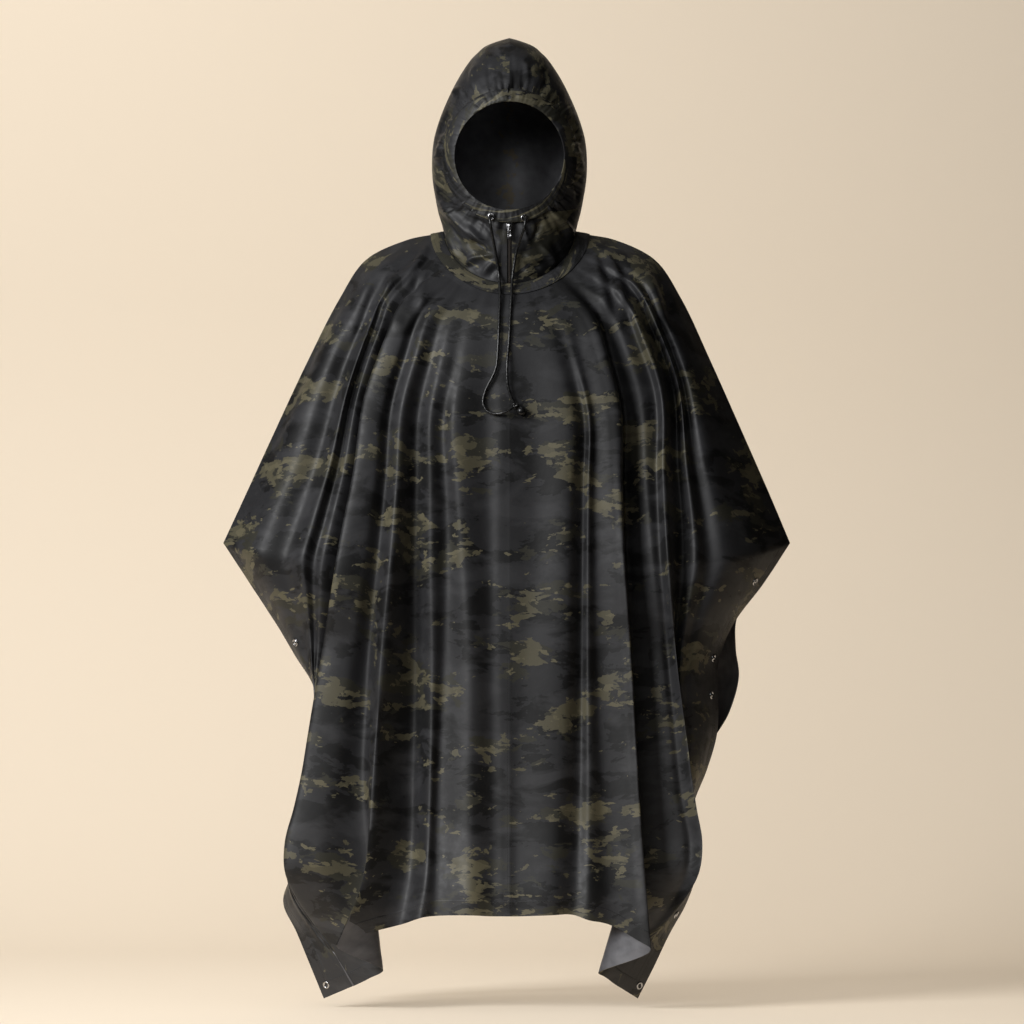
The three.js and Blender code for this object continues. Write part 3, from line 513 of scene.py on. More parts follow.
def tubeAlong(name, path, radius, sides):
    # a round tube on a path in millimetres, with capped ends and a UV map in real length
    path = np.asarray(path, float)
    ahead = unit(np.gradient(path, axis=0))
    side = np.cross(ahead[0], [0, 0, 1.0])
    if np.linalg.norm(side) < 0.1:
        side = np.cross(ahead[0], [0, 1.0, 0])
    rings = []
    for place, direction in zip(path, ahead):
        side = unit(side - direction * (side @ direction))
        up = np.cross(direction, side)
        angles = np.arange(sides) * 2 * math.pi / sides
        rings.append(place + radius * (np.cos(angles)[:, None] * side + np.sin(angles)[:, None] * up))
    rings = np.array(rings)
    count = len(path)
    r, c = (a.ravel() for a in np.mgrid[0 : count - 1, 0:sides])
    corners = [(r, c), (r, c + 1), (r + 1, c + 1), (r + 1, c)]
    faces = np.stack([a * sides + b % sides for a, b in corners], -1)
    reach = reachOf(path)
    around = 2 * math.pi * radius / sides
    uvs = np.stack([np.stack([reach[a], b * around], -1) for a, b in corners], -2).reshape(-1, 2)
    points = np.concatenate([rings.reshape(-1, 3), path[[0, -1]]])
    c = np.arange(sides)
    last = (count - 1) * sides
    startCap = np.stack([np.full(sides, count * sides), (c + 1) % sides, c], -1)
    endCap = np.stack([np.full(sides, count * sides + 1), last + c, last + (c + 1) % sides], -1)
    allFaces = [*faces.tolist(), *startCap.tolist(), *endCap.tolist()]
    piece = newPiece(name, points, allFaces, [cordCover])
    layer = piece.data.uv_layers.new(name="flatCloth")
    full = np.zeros((len(layer.data), 2))
    full[: len(uvs)] = uvs * mm
    layer.data.foreach_set("uv", full.ravel())
    return piece


cords, cordPaths = {}, {}
for name, route in cordLook["routes"].items():
    path = smoothThrough(np.array(route), cordLook["stepsPerSpan"])
    cordPaths[name] = path
    radius = cordLook["diameter"] / 2 / mm
    cords[name] = tubeAlong(name + "_braid", path / mm, radius, cordLook["sides"])
    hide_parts(name)
    print(name, "is", round(float(reachOf(path)[-1]), 4), "m long")
print("cords made")

# The cloth, from the same tables as the part's source
clothCut = {
    "thickness": 1.2, "hemExtra": 0.5, "edgeClearance": 4,
    "sideOpening": 10, "cornerSwing": 72, "cornerZ": -1208, "reliefFrom": 300, "reliefTo": 760,
    # shares of the drop over which the corner swings and flattens; share of the width that has no relief
    "swingFrom": 0.7, "flattenFrom": 0.72, "flattenTo": 0.97, "edgeFade": 0.12, "pleatColumn": 8,
    "acrossSteps": 8, "downSteps": 9,
}
upperRings = [
    # sideZ, left, right, front, back, frontDepth, backDepth, spread, gather
    (12, 104, 105, -72, 22, 92, 84, 0, 0),
    (8, 127, 129, -91, 6, 107, 99, 0.12, 0.05),
    (0, 164, 169, -118, -22, 122, 114, 0.35, 0.15),
    (-32, 230, 233, -156, -72, 135, 126, 0.65, 0.45),
    (-96, 273, 276, -215, -140, 145, 134, 0.85, 0.85),
    (-192, 322, 321, -300, -235, 150, 136, 1, 1),
    (-320, 382, 378, -400, -350, 150, 132, 1, 1),
    (-416, 426, 420, -475, -445, 150, 130, 1, 1),
    (-485, 458, 449, -535, -520, 152, 132, 1, 1),
]
ringKeys = ("sideZ", "left", "right", "front", "back", "frontDepth", "backDepth", "spread", "gather")
upperRings = [dict(zip(ringKeys, row)) for row in upperRings]
lowerRings = [
    # drop, left, right, backLeft, backRight, frontDepth, backDepth
    (0.09, 415, 406, 419, 411, 154, 134),
    (0.18, 372, 358, 381, 366, 155, 138),
    (0.26, 338, 335, 350, 363, 156, 142),
    (0.33, 303, 334, 316, 368, 158, 146),
    (0.42, 288, 332, 296, 352, 160, 150),
    (0.5, 290, 316, 292, 322, 163, 155),
    (0.58, 302, 294, 294, 305, 167, 160),
    (0.66, 325, 290, 305, 292, 171, 165),
    (0.73, 347, 297, 318, 290, 175, 170),
    (0.79, 361, 284, 332, 286, 179, 174),
    (0.86, 338, 255, 338, 272, 182, 178),
    (0.93, 316, 230, 328, 254, 186, 182),
    (1, 295, 204, 310, 234, 190, 186),
]
lowerKeys = ("drop", "left", "right", "backLeft", "backRight", "frontDepth", "backDepth")
lowerRings = [dict(zip(lowerKeys, row)) for row in lowerRings]
foldHeights = [-288, -480, -672, -864, -1010]


def foldTable(rows, under):
    # long rows: distance from the centre at the five heights and at the hem, the hem's height, and the
    # relief above and below; short rows, where the corner folds back: share of the way from the side edge
    # to the fold it goes under, and the relief above and below
    folds = []
    for row in rows:
        place = {"share": row[0], "under": under} if len(row) == 3 else {"x": row[:6], "hemZ": row[6]}
        folds.append({**place, "high": row[-2], "low": row[-1]})
    return folds


leftFolds = foldTable([
    (0, 0, 0, 0, 0, 0, -1071, 1, -1),
    (14, 16, 14, 12, 12, 12, -1071, 1, -2),
    (38, 34, 30, 28, 28, 28, -1071, -4, -3),
    (88, 74, 62, 63, 62, 62, -1069, 8, 9),
    (106, 100, 103, 112, 115, 117, -1071, -6, -13),
    (125, 124, 122, 125, 131, 141, -1074, 3, -4),
    (146, 151, 152, 155, 160, 176, -1087, -17, -36),
    (170, 184, 202, 215, 230, 272, -1116, 9, 26),
    (188, 206, 224, 231, 217, 201, -1158, -7, -20),
    (202, 228, 254, 281, 300, 222, -1172, 9, 4),
    (230, 268, 300, 332, 354, 238, -1181, 14, 16),
    (217, 253, 284, 312, 338, 248, -1186, -36, -22),
    (0.89, -9, 0),
    (0.8, -15, -5),
    (0.71, 3, 2),
    (0.55, -16, -5),
    (0.31, 5, 1),
    (0, 0, 0),
], under=10)
rightFolds = foldTable([
    (0, 0, 0, 0, 0, 0, -1071, 1, -1),
    (34, 40, 24, 14, 12, 12, -1071, -4, -2),
    (98, 92, 90, 79, 71, 67, -1069, 7, 6),
    (117, 115, 113, 110, 104, 99, -1069, -8, -10),
    (126, 124, 124, 126, 126, 124, -1077, 2, 1),
    (134, 136, 140, 147, 152, 156, -1084, -4, -7),
    (156, 167, 178, 188, 194, 200, -1108, 6, 8),
    (174, 180, 193, 204, 214, 223, -1124, 8, 18),
    (181, 184, 188, 190, 182, 142, -1163, -40, -38),
    (210, 223, 241, 258, 268, 150, -1169, -10, -8),
    (231, 237, 252, 270, 280, 158, -1175, -9, -5),
    (241, 249, 265, 289, 298, 165, -1181, 10, 16),
    (260, 273, 262, 268, 282, 172, -1186, -20, -16),
    (0.87, 4, 0),
    (0.76, -9, -3),
    (0.6, 6, 2),
    (0.3, -5, -2),
    (0, 0, 0),
], under=12)
backFolds = [
    # share of the way to the side edge at the top and at the hem, relief above and below
    (0, 0, 0, 2), (0.08, 0.07, 5, 12), (0.17, 0.16, -7, -14), (0.25, 0.24, 8, 16),
    (0.33, 0.34, -9, -18), (0.41, 0.41, 7, 13), (0.5, 0.52, -12, -19), (0.58, 0.61, 9, 15),
    (0.67, 0.7, -9, -14), (0.76, 0.79, 7, 9), (0.86, 0.88, -7, -5), (0.94, 0.95, 2, 2), (1, 1, 0, 0),
]
backCut = {"hemCentreZ": -1076, "cornerDrop": 56, "cornerCurve": 2.2, "hang": 430, "hangShare": 1.45}
noHem = 100
tipRing = len(upperRings) - 1


def upperRingZ(ring, centreZ, share):
    bow = mix(0.55, 0.8, ring["spread"])
    return ring["sideZ"] + (centreZ - ring["sideZ"]) * max(1 - share * share, 0) ** bow


def depthAt(spread, share):
    power, root = mix(2, 3, spread), mix(0.5, 0.6, spread)
    return max(1 - min(share, 1) ** power, 0) ** root


def foldX(folds, fold, z, edgeX):
    if "share" in fold:
        return mix(edgeX, foldX(folds, folds[fold["under"]], z, edgeX), fold["share"])
    return throughValues([*foldHeights, fold["hemZ"]], fold["x"], z)


def foldHemZ(folds, fold):
    if "share" in fold:
        return mix(clothCut["cornerZ"], folds[fold["under"]]["hemZ"], fold["share"])
    return fold["hemZ"]


def edgeDepth(drop, swing):
    opening = clothCut["sideOpening"] * easeStep(0, 0.2, drop)
    swung = easeStep(clothCut["swingFrom"], clothCut["flattenTo"], drop)
    return clothCut["edgeClearance"] + opening + swing * swung


def awayFromEdge(share):
    return clamp((1 - share) / clothCut["edgeFade"])


def reliefAt(fold, z):
    return mix(fold["high"], fold["low"], easeStep(clothCut["reliefFrom"], clothCut["reliefTo"], -z))


def frontControls(side):
    folds, width = (leftFolds, "left") if side < 0 else (rightFolds, "right")
    edge = len(folds) - 1

    def settle(ring, fold):
        share = 0.5
        for _ in range(6):
            z = upperRingZ(ring, ring["front"], share)
            share = float(clamp(foldX(folds, fold, z, ring[width]) / ring[width]))
        return share

    chestRing = next(ring for ring in upperRings if ring["spread"] == 1)
    chestShares = [settle(chestRing, fold) for fold in folds]
    rows, tipHeights, restShares = [], [0.0] * len(folds), [0.0] * len(folds)
    for ring in upperRings:
        row = []
        for column, fold in enumerate(folds):
            neckShare = math.sin(math.pi / 2 * column / edge)
            share = mix(neckShare, chestShares[column], ring["spread"])
            if ring["spread"] >= 1:
                share = settle(ring, fold)
            if column == edge:
                share = 1
            z = upperRingZ(ring, ring["front"], share)
            tipHeights[column] = z
            calm = max(easeStep(150, 330, -z), easeStep(0.35, 0.62, share))
            relief = reliefAt(fold, z) * ring["gather"] * awayFromEdge(share) * mix(0.2, 1, calm)
            depth = ring["frontDepth"] * depthAt(ring["spread"], share) + relief
            y = -0.0 if column == edge else -max(depth, clothCut["edgeClearance"])
            row.append((side * share * ring[width], y, z))
        rows.append(row)
    for index, ring in enumerate(lowerRings):
        edgeOut = edgeDepth(ring["drop"], clothCut["cornerSwing"])
        places = []
        for column, fold in enumerate(folds):
            z = mix(tipHeights[column], foldHemZ(folds, fold), ring["drop"])
            x = ring[width] if column == edge else foldX(folds, fold, z, ring[width])
            if index <= 1:
                restShares[column] = float(clamp(x / ring[width]))
            share = restShares[column]
            depth = ring["frontDepth"] * depthAt(1, share) + reliefAt(fold, z) * awayFromEdge(share)
            places.append((x, z, math.hypot(max(depth, 0), edgeOut)))
        pleatX, _, pleatOut = places[clothCut["pleatColumn"]]
        flatten = easeStep(clothCut["flattenFrom"], clothCut["flattenTo"], ring["drop"])
        row = []
        for column, (x, z, out) in enumerate(places):
            if column > clothCut["pleatColumn"]:
                along = clamp((x - pleatX) / (ring[width] - pleatX))
                out = mix(out, mix(pleatOut, edgeOut, along), flatten)
            row.append((side * x, -out, z))
        rows.append(row)
    return np.array(rows, float)


def backControls(side):
    width, lowerWidth = ("left", "backLeft") if side < 0 else ("right", "backRight")
    edge = len(backFolds) - 1
    rows = []
    for ring in upperRings:
        row = []
        for column, (top, hem, high, low) in enumerate(backFolds):
            share = mix(math.sin(math.pi / 2 * column / edge), top, ring["spread"])
            relief = high * ring["gather"] * awayFromEdge(share)
            depth = ring["backDepth"] * depthAt(ring["spread"], share) + relief
            y = 0.0 if column == edge else max(depth, clothCut["edgeClearance"])
            z = upperRingZ(ring, ring["back"], share)
            row.append((side * share * ring[width], y, z))
        rows.append(row)
    for ring in lowerRings:
        row = []
        for column, (top, hem, high, low) in enumerate(backFolds):
            share = mix(top, hem, ring["drop"])
            hemZ = backCut["hemCentreZ"] - backCut["cornerDrop"] * share ** backCut["cornerCurve"]
            z = mix(rows[tipRing][column][2], hemZ, ring["drop"])
            relief = mix(high, low, ring["drop"]) * awayFromEdge(share)
            depth = ring["backDepth"] * depthAt(1, share) + relief
            y = math.hypot(max(depth, 0), edgeDepth(ring["drop"], 0))
            hang = min(backCut["hang"], backCut["hangShare"] * ring[lowerWidth])
            x = share * hang + (ring[lowerWidth] - hang) * share**3
            row.append((side * x, y, z))
        rows.append(row)
    return np.array(rows, float)


# Creases that the wearer's pose puts into the front, drawn on the front view: x and z, half width, height
frontCreases = [
    # gathers that run down from the left and right of the neckband
    ([(-122, 0), (-140, -26), (-154, -48), (-164, -85)], 7, 3.4),
    ([(-112, -20), (-127, -27), (-148, -69), (-154, -123)], 6, -3.2),
    ([(-134, -40), (-140, -75), (-138, -118)], 6, 2.6),
    ([(-190, -116), (-178, -136), (-164, -141), (-150, -124), (-122, -75)], 8, 3),
    ([(-196, -60), (-212, -110), (-232, -175)], 9, -4),
    ([(-214, -52), (-236, -110), (-262, -190)], 9, 4),
    ([(-244, -75), (-284, -160), (-319, -245), (-399, -411)], 14, 5),
    ([(-180, -24), (-192, -70), (-206, -130)], 6, 3),
    ([(129, -16), (145, -72), (158, -136)], 6, 3),
    ([(138, -10), (156, -60), (170, -140)], 5, -3.4),
    ([(148, -8), (174, -64), (182, -144)], 6, 3),
    ([(166, -20), (186, -66), (196, -130)], 6, -3),
    ([(217, -45), (234, -100), (244, -150)], 8, 4.5),
    ([(232, -44), (252, -96), (262, -150)], 8, -4),
    # small drags over the chest and above the hem
    ([(-84, -150), (-96, -210), (-104, -290)], 10, 1.6),
    ([(-20, -640), (-10, -760), (-6, -900)], 16, 1.6),
    ([(-204, -700), (-190, -800), (-172, -905)], 22, -7),
]
wrinkles = {
    "puckerPitch": 15, "puckerHeight": 0.6, "puckerReach": 40, "puckerWander": 38, "puckerPatch": 24,
    "streakPitch": 55, "streakLength": 260, "streakHeight": 0.7,
}


def panelSurface(side, facing):
    controls = frontControls(side) if facing < 0 else backControls(side)
    grid = smoothThrough(controls.transpose(1, 0, 2), clothCut["acrossSteps"]).transpose(1, 0, 2)
    rounded = smoothThrough(grid, clothCut["downSteps"])
    above = smoothThrough(grid[: tipRing + 1], clothCut["downSteps"])
    cornered = np.concatenate([above[:-1], smoothThrough(grid[tipRing:], clothCut["downSteps"])])
    rows, columns = rounded.shape[:2]
    tipRow = tipRing * clothCut["downSteps"]
    corner = easeStep(0.72, 1, np.linspace(0, 1, columns))[None, :, None]
    grid = mix(rounded, cornered, corner)
    keepX, keepY = np.zeros((rows, columns), bool), np.zeros((rows, columns), bool)
    keepX[:, 0] = True
    keepY[: tipRow + 1, -1] = True
    normals = gridNormals(grid, keepX=keepX, keepY=keepY)
    fromEdge = reachAlong(grid[:, ::-1], 1)[:, ::-1]
    fromTop = reachAlong(grid, 0)
    fromHem = fromTop[-1:] - fromTop
    freeEdge = (np.arange(rows) > tipRow)[:, None]
    hold = np.where(freeEdge, 1, easeStep(2, 40, fromEdge))
    underBand = fromTop / np.maximum(fromTop[clothCut["downSteps"]], 1e-6)
    hold = hold * easeStep(0.9, 1.6, underBand)
    neck = np.broadcast_to(reachAlong(grid[:1], 1), (rows, columns)) * side
    below = fromTop - fromTop[clothCut["downSteps"]]
    # puckers where the cloth is gathered into the neckband
    pitch = wrinkles["puckerPitch"]
    wander = waveNoise(neck / wrinkles["puckerWander"], below / 400, 3.1 + facing)
    pucker = np.sin(2 * math.pi * (neck / pitch + 0.6 * wander))
    patches = 0.6 + 0.4 * waveNoise(neck / wrinkles["puckerPatch"], 0 * neck, 8.0)
    fade = np.exp(-np.maximum(below, 0) / wrinkles["puckerReach"]) * patches
    relief = wrinkles["puckerHeight"] * pucker * fade
    # long soft streaks down the fall of the cloth
    across = reachAlong(grid, 1, (0, 1)) * side
    pitch, length = wrinkles["streakPitch"], wrinkles["streakLength"]
    streak = waveNoise(across / pitch, fromTop / length, 5.5 + facing)
    streak += 0.5 * waveNoise(across / (pitch * 0.45), fromTop / (length / 2), 9.5 + facing)
    relief += wrinkles["streakHeight"] * streak * easeStep(0, 120, below)
    if facing < 0:
        relief += creaseHeight(grid[..., 0], grid[..., 2], frontCreases)
    surface = grid + normals * (relief * hold)[..., None]
    normals = gridNormals(surface, keepX=keepX, keepY=keepY)
    flat = np.stack([across, -grid[0, :, 2][None] + reachAlong(grid, 0, (1, 2))], -1)
    hem = np.minimum(np.where(freeEdge, fromEdge, 1000), fromHem)
    return {"grid": surface, "normals": normals, "flat": flat, "hem": hem, "tipRow": tipRow}


def clothPiece(node, outer, inner, flat, backing=lining, closed=False, hem=noHem):
    materials = [cloth, backing]
    piece = wallPiece(node + "_cloth", outer, inner, flat, materials, closed, hem)
    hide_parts(node)
    return piece


panelPlan = {
    "front_left": {"side": -1, "facing": -1, "flat": (0.64, 1.44), "area": 0.72},
    "front_right": {"side": 1, "facing": -1, "flat": (0.62, 1.43), "area": 0.7},
    "back_left": {"side": -1, "facing": 1, "flat": (0.54, 1.35), "area": 0.56},
    "back_right": {"side": 1, "facing": 1, "flat": (0.53, 1.34), "area": 0.55},
}
panels, panelPieces = {}, {}
for name, plan in panelPlan.items():
    panel = panelSurface(plan["side"], plan["facing"])
    thickness = clothCut["thickness"] + clothCut["hemExtra"] * (1 - easeStep(18, 24, panel["hem"]))
    inner = panel["grid"] - panel["normals"] * thickness[..., None]
    panelPieces[name] = clothPiece(name, panel["grid"], inner, panel["flat"], hem=panel["hem"])
    panels[name] = panel
print("panels made")

# Neckband
bandLook = {"from": 0.08, "to": 0.97, "rows": 10, "lift": 0.5, "thickness": 1.0, "puff": 0.5, "pucker": 0.5}


def bandBase(share):
    # all round, at a share of the way from the neckline to the first ring
    step = clothCut["downSteps"]

    def quarter(name):
        grid = panels[name]["grid"]
        place = share * step
        low = min(int(place), step - 1)
        return mix(grid[low], grid[low + 1], place - low)

    parts = [
        quarter("front_left")[1:][::-1],
        quarter("front_right")[1:],
        quarter("back_right")[1:-1][::-1],
        quarter("back_left")[1:-1],
    ]
    return np.concatenate(parts)


def closedFlat(grid):
    ring = np.concatenate([grid, grid[:, :1]], axis=1)
    return np.stack([reachAlong(ring, 1), reachAlong(ring, 0)], -1)


shares = np.linspace(bandLook["from"], bandLook["to"], bandLook["rows"])
base = np.array([bandBase(share) for share in shares])
normals = gridNormals(base, closed=True)
swell = np.sin(np.linspace(0, math.pi, bandLook["rows"]))[:, None] ** 0.5
turn = np.linspace(0, 1, base.shape[1], endpoint=False)[None]
puckers = waveNoise(turn * 140 + 0 * swell, swell * 2, 2.0)
height = bandLook["lift"] + bandLook["thickness"] + (bandLook["puff"] + bandLook["pucker"] * puckers) * swell
bandOuter, bandNormals = base + normals * height[..., None], normals
bandInner = base + normals * bandLook["lift"]
neckBand = clothPiece("neck_band", bandOuter, bandInner, closedFlat(base), closed=True)
print("neckband made")

# Hood
hoodCut = {
    "faceHalfWidth": 88, "faceHalfHeight": 87, "faceCentreZ": 130, "crownSeamZ": 323, "crownShoulderZ": 305,
    "zipHalfOpening": 4, "lift": 0.7,
    "columns": 112, "throatRows": 44, "faceRows": 104, "crownRows": 26, "ridgeRows": 14,
    "gatherHeight": 4.4, "gatherReach": 22, "casingWidth": 19,
}
hoodSections = [
    # z, half width, reach to the front, reach to the back
    (13, 111, 98, 104), (32, 112, 101, 112), (64, 118, 107, 123), (96, 123, 112, 131), (128, 124, 115, 135),
    (160, 121, 116, 135), (192, 112, 114, 129), (224, 99, 106, 117), (256, 83, 92, 98), (288, 62, 68, 68),
    (305, 45, 48, 44),
]
hoodCreases = [
    # the slack throat falls in crumples to both sides of the zip
    ([(-116, 66), (-94, 40), (-66, 11), (-41, -6), (-26, -22)], 6.5, 8),
    ([(-124, 44), (-104, 26), (-80, -2), (-60, -12)], 6, -6),
    ([(-70, 27), (-52, 5), (-33, -16), (-20, -26)], 2.6, 4),
    ([(-106, 19), (-96, 4), (-89, -11), (-76, -48)], 5, 6),
    ([(-66, -3), (-52, -12), (-34, -20)], 6.5, -11),
    ([(-80, -60), (-63, -34), (-46, -29), (-18, -27)], 3.6, 6),
    ([(-70, -66), (-58, -46), (-40, -38)], 5, -5),
    ([(-47, -70), (-34, -46), (-18, -34)], 3.6, 5),
    ([(-36, -74), (-26, -54), (-14, -46)], 3.4, -4),
    ([(-60, 30), (-44, 24), (-26, 4), (-16, -14)], 3.5, -3.5),
    ([(20, 26), (26, 4), (34, -18)], 3, 3.4),
    ([(38, -6), (44, 10), (52, 32)], 3.4, -6),
    ([(46, -8), (55, -19), (68, -34), (73, -59)], 5, 7),
    ([(64, -4), (80, -24), (86, -48)], 5.5, -5.5),
    ([(86, 16), (98, -8), (104, -30)], 5, 4.5),
    ([(22, -26), (38, -34), (54, -36)], 3.2, 4),
    ([(22, -36), (36, -45), (52, -46)], 3, -3.6),
    ([(20, -50), (36, -57), (56, -58)], 3.2, 4),
    ([(24, -60), (38, -66), (54, -66)], 3, -3.4),
    ([(24, -70), (40, -76), (58, -74)], 3.2, 3.6),
    ([(60, 40), (84, 26), (104, 0)], 6, 5.5),
    ([(72, 20), (92, 4), (100, -14)], 5, -4),
    # folds that run back from the face on the sides and over the crown
    ([(-96, 170), (-108, 150), (-116, 118)], 6, 5),
    ([(-92, 206), (-104, 186), (-112, 160)], 5, -4.5),
    ([(-100, 140), (-108, 100), (-110, 60)], 5, -4),
    ([(-72, 226), (-84, 238), (-92, 226)], 5, 4),
    ([(96, 160), (108, 136), (116, 100)], 6, 5),
    ([(92, 200), (104, 176), (112, 146)], 5, -4.5),
    ([(98, 120), (108, 80), (108, 50)], 5, -4),
    ([(-52, 232), (-60, 256), (-52, 282)], 5, 3.5),
    ([(-30, 238), (-34, 260), (-30, 280)], 4.5, -3),
    ([(22, 240), (28, 262), (24, 284)], 4.5, 3.2),
    ([(48, 232), (58, 254), (52, 276)], 5, -3),
]
faceBottomZ = hoodCut["faceCentreZ"] - hoodCut["faceHalfHeight"]


def hoodSection(z):
    heights = [row[0] for row in hoodSections]
    return [throughValues(heights, [row[i] for row in hoodSections], z) for i in (1, 2, 3)]


def hoodLevel(side, z, startX):
    half, front, back = hoodSection(z)
    angles = np.linspace(-math.acos(startX / half), math.pi / 2, hoodCut["columns"] + 1)
    reach = np.where(angles < 0, front, back)
    return np.stack([side * half * np.cos(angles), reach * np.sin(angles), np.full_like(angles, z)], -1)


def neckLevel(side):
    ring = upperRings[0]
    half = ring["left"] if side < 0 else ring["right"]
    angles = np.linspace(-math.acos(hoodCut["zipHalfOpening"] / half), math.pi / 2, hoodCut["columns"] + 1)
    reach = np.where(angles < 0, ring["frontDepth"], ring["backDepth"])
    z = [upperRingZ(ring, ring["front"] if a < 0 else ring["back"], math.cos(a)) for a in angles]
    x, y = side * half * np.cos(angles), reach * np.sin(angles)
    return np.stack([x, y, np.array(z) + hoodCut["lift"]], -1)


def hoodSurface(side):
    neck = neckLevel(side)
    throatTop = hoodLevel(side, faceBottomZ, hoodCut["zipHalfOpening"])
    shares = np.linspace(0, 1, hoodCut["throatRows"], endpoint=False)
    rows = [mix(neck, throatTop, share) for share in shares]
    for step in range(hoodCut["faceRows"] + 1):
        angle = math.pi * step / hoodCut["faceRows"]
        z = hoodCut["faceCentreZ"] - hoodCut["faceHalfHeight"] * math.cos(angle)
        least = 0 if step == hoodCut["faceRows"] else hoodCut["zipHalfOpening"]
        rows.append(hoodLevel(side, z, max(hoodCut["faceHalfWidth"] * math.sin(angle), least)))
    faceTop = rows[-1][0][2]
    for share in np.linspace(0, 1, hoodCut["crownRows"] + 1)[1:]:
        rows.append(hoodLevel(side, mix(faceTop, hoodCut["crownShoulderZ"], share), 0))
    shoulder = rows[-1]
    for share in np.linspace(0, 1, hoodCut["ridgeRows"] + 1)[1:]:
        y = shoulder[:, 1] * (1 - 0.06 * share)
        middle = np.maximum(1 - (y / hoodSections[-1][2]) ** 2, 0)
        seamZ = mix(hoodCut["crownShoulderZ"] + 1.5, hoodCut["crownSeamZ"], middle)
        x = np.abs(shoulder[:, 0]) * max(1 - 0.4 * share - 0.6 * share**2, 0)
        rows.append(np.stack([side * x, y, mix(hoodCut["crownShoulderZ"], seamZ, share)], -1))
    grid = np.array(rows)
    count, columns = grid.shape[:2]
    # the edges at the zip and the seams stay in their planes; the edge round the face is free
    keepX = np.zeros((count, columns), bool)
    keepX[:, [0, -1]] = True
    keepX[-1] = True
    keepX[hoodCut["throatRows"] + 1 : hoodCut["throatRows"] + hoodCut["faceRows"], 0] = False
    normals = gridNormals(grid, keepX=keepX)
    x, z = grid[..., 0], grid[..., 2]
    front = easeStep(0, -40, grid[..., 1])
    # gathers that run out from the drawn-up casing
    angle = np.arctan2(z - hoodCut["faceCentreZ"], x)
    wide, high = hoodCut["faceHalfWidth"], hoodCut["faceHalfHeight"]
    away = (np.hypot(x / wide, (z - hoodCut["faceCentreZ"]) / high) - 1) * wide
    gathers = waveNoise(angle * 16, away / 50, 4.2) + 0.8 * waveNoise(angle * 34, away / 34, 6.2)
    past = np.maximum(away - hoodCut["casingWidth"], 0)
    fade = np.exp(-past / hoodCut["gatherReach"]) * easeStep(4, 18, away)
    relief = hoodCut["gatherHeight"] * gathers * fade
    relief += 1.6 * waveNoise(x / 30, z / 46, 7.7) + 0.8 * waveNoise(x / 14, z / 22, 1.7)
    relief = (relief + creaseHeight(x, z, hoodCreases)) * front
    hold = easeStep(0, 14, z - neck[:, 2][None]) * easeStep(0, 24, reachAlong(grid[::-1], 0)[::-1])
    surface = grid + normals * (relief * hold)[..., None]
    normals = gridNormals(surface, keepX=keepX)
    across = reachAlong(grid[:, ::-1], 1, (0, 1))[:, ::-1]
    flat = np.stack([across * side + 0.9, 400 - reachAlong(grid, 0)], -1)
    return {"grid": surface, "normals": normals, "flat": flat}


hoods, hoodPieces = {}, {}
for name, side in (("hood_left", -1), ("hood_right", 1)):
    hood = hoodSurface(side)
    inner = hood["grid"] - hood["normals"] * clothCut["thickness"]
    hoodPieces[name] = clothPiece(name, hood["grid"], inner, hood["flat"], backing=hoodLining)
    hoods[name] = hood
print("hood made")

# Gathered casing round the face
casingLook = {
    "inner": -1.5, "outer": 19, "rows": 13, "steps": 420, "lift": 0.3, "thickness": 1.3, "puff": 1.5,
    "leastHeight": 0.9,
}


def hoodFrontY(x, z):
    half, front, back = hoodSection(max(z, faceBottomZ))
    return -front * math.sqrt(max(1 - (x / half) ** 2, 0))


def casingRing(offset):
    ring = []
    for angle in np.linspace(0, 2 * math.pi, casingLook["steps"], endpoint=False):
        x = (hoodCut["faceHalfWidth"] + offset) * math.cos(angle)
        z = hoodCut["faceCentreZ"] + (hoodCut["faceHalfHeight"] + offset) * math.sin(angle)
        ring.append((x, hoodFrontY(x, z), z))
    return ring


offsets = np.linspace(casingLook["inner"], casingLook["outer"], casingLook["rows"])
base = np.array([casingRing(offset) for offset in offsets])
normals = gridNormals(base, closed=True)
# the casing faces forward all round
normals[normals[..., 1] > 0] *= -1
share = np.linspace(0, 1, casingLook["rows"])[:, None]
turn = np.linspace(0, 2 * math.pi, casingLook["steps"], endpoint=False)[None]
ring = np.stack([np.cos(turn), np.sin(turn)])
gathers = waveNoise(ring[0] * 9 + share * 0.2, ring[1] * 9, 3.3)
gathers += 0.7 * waveNoise(ring[0] * 19, ring[1] * 19 + share, 5.3)
gathers += 0.5 * waveNoise(ring[0] * 34, ring[1] * 34 + 2 * share, 8.3)
roll = np.sin(share * math.pi) ** 0.5
height = casingLook["lift"] + casingLook["thickness"] + casingLook["puff"] * roll * (0.6 + 0.9 * gathers)
height = np.maximum(height, casingLook["leastHeight"])
casingOuter, casingNormals = base + normals * height[..., None], normals
casingInner = base + normals * casingLook["lift"]
casing = clothPiece("face_casing", casingOuter, casingInner, closedFlat(base), closed=True)
print("casing made")

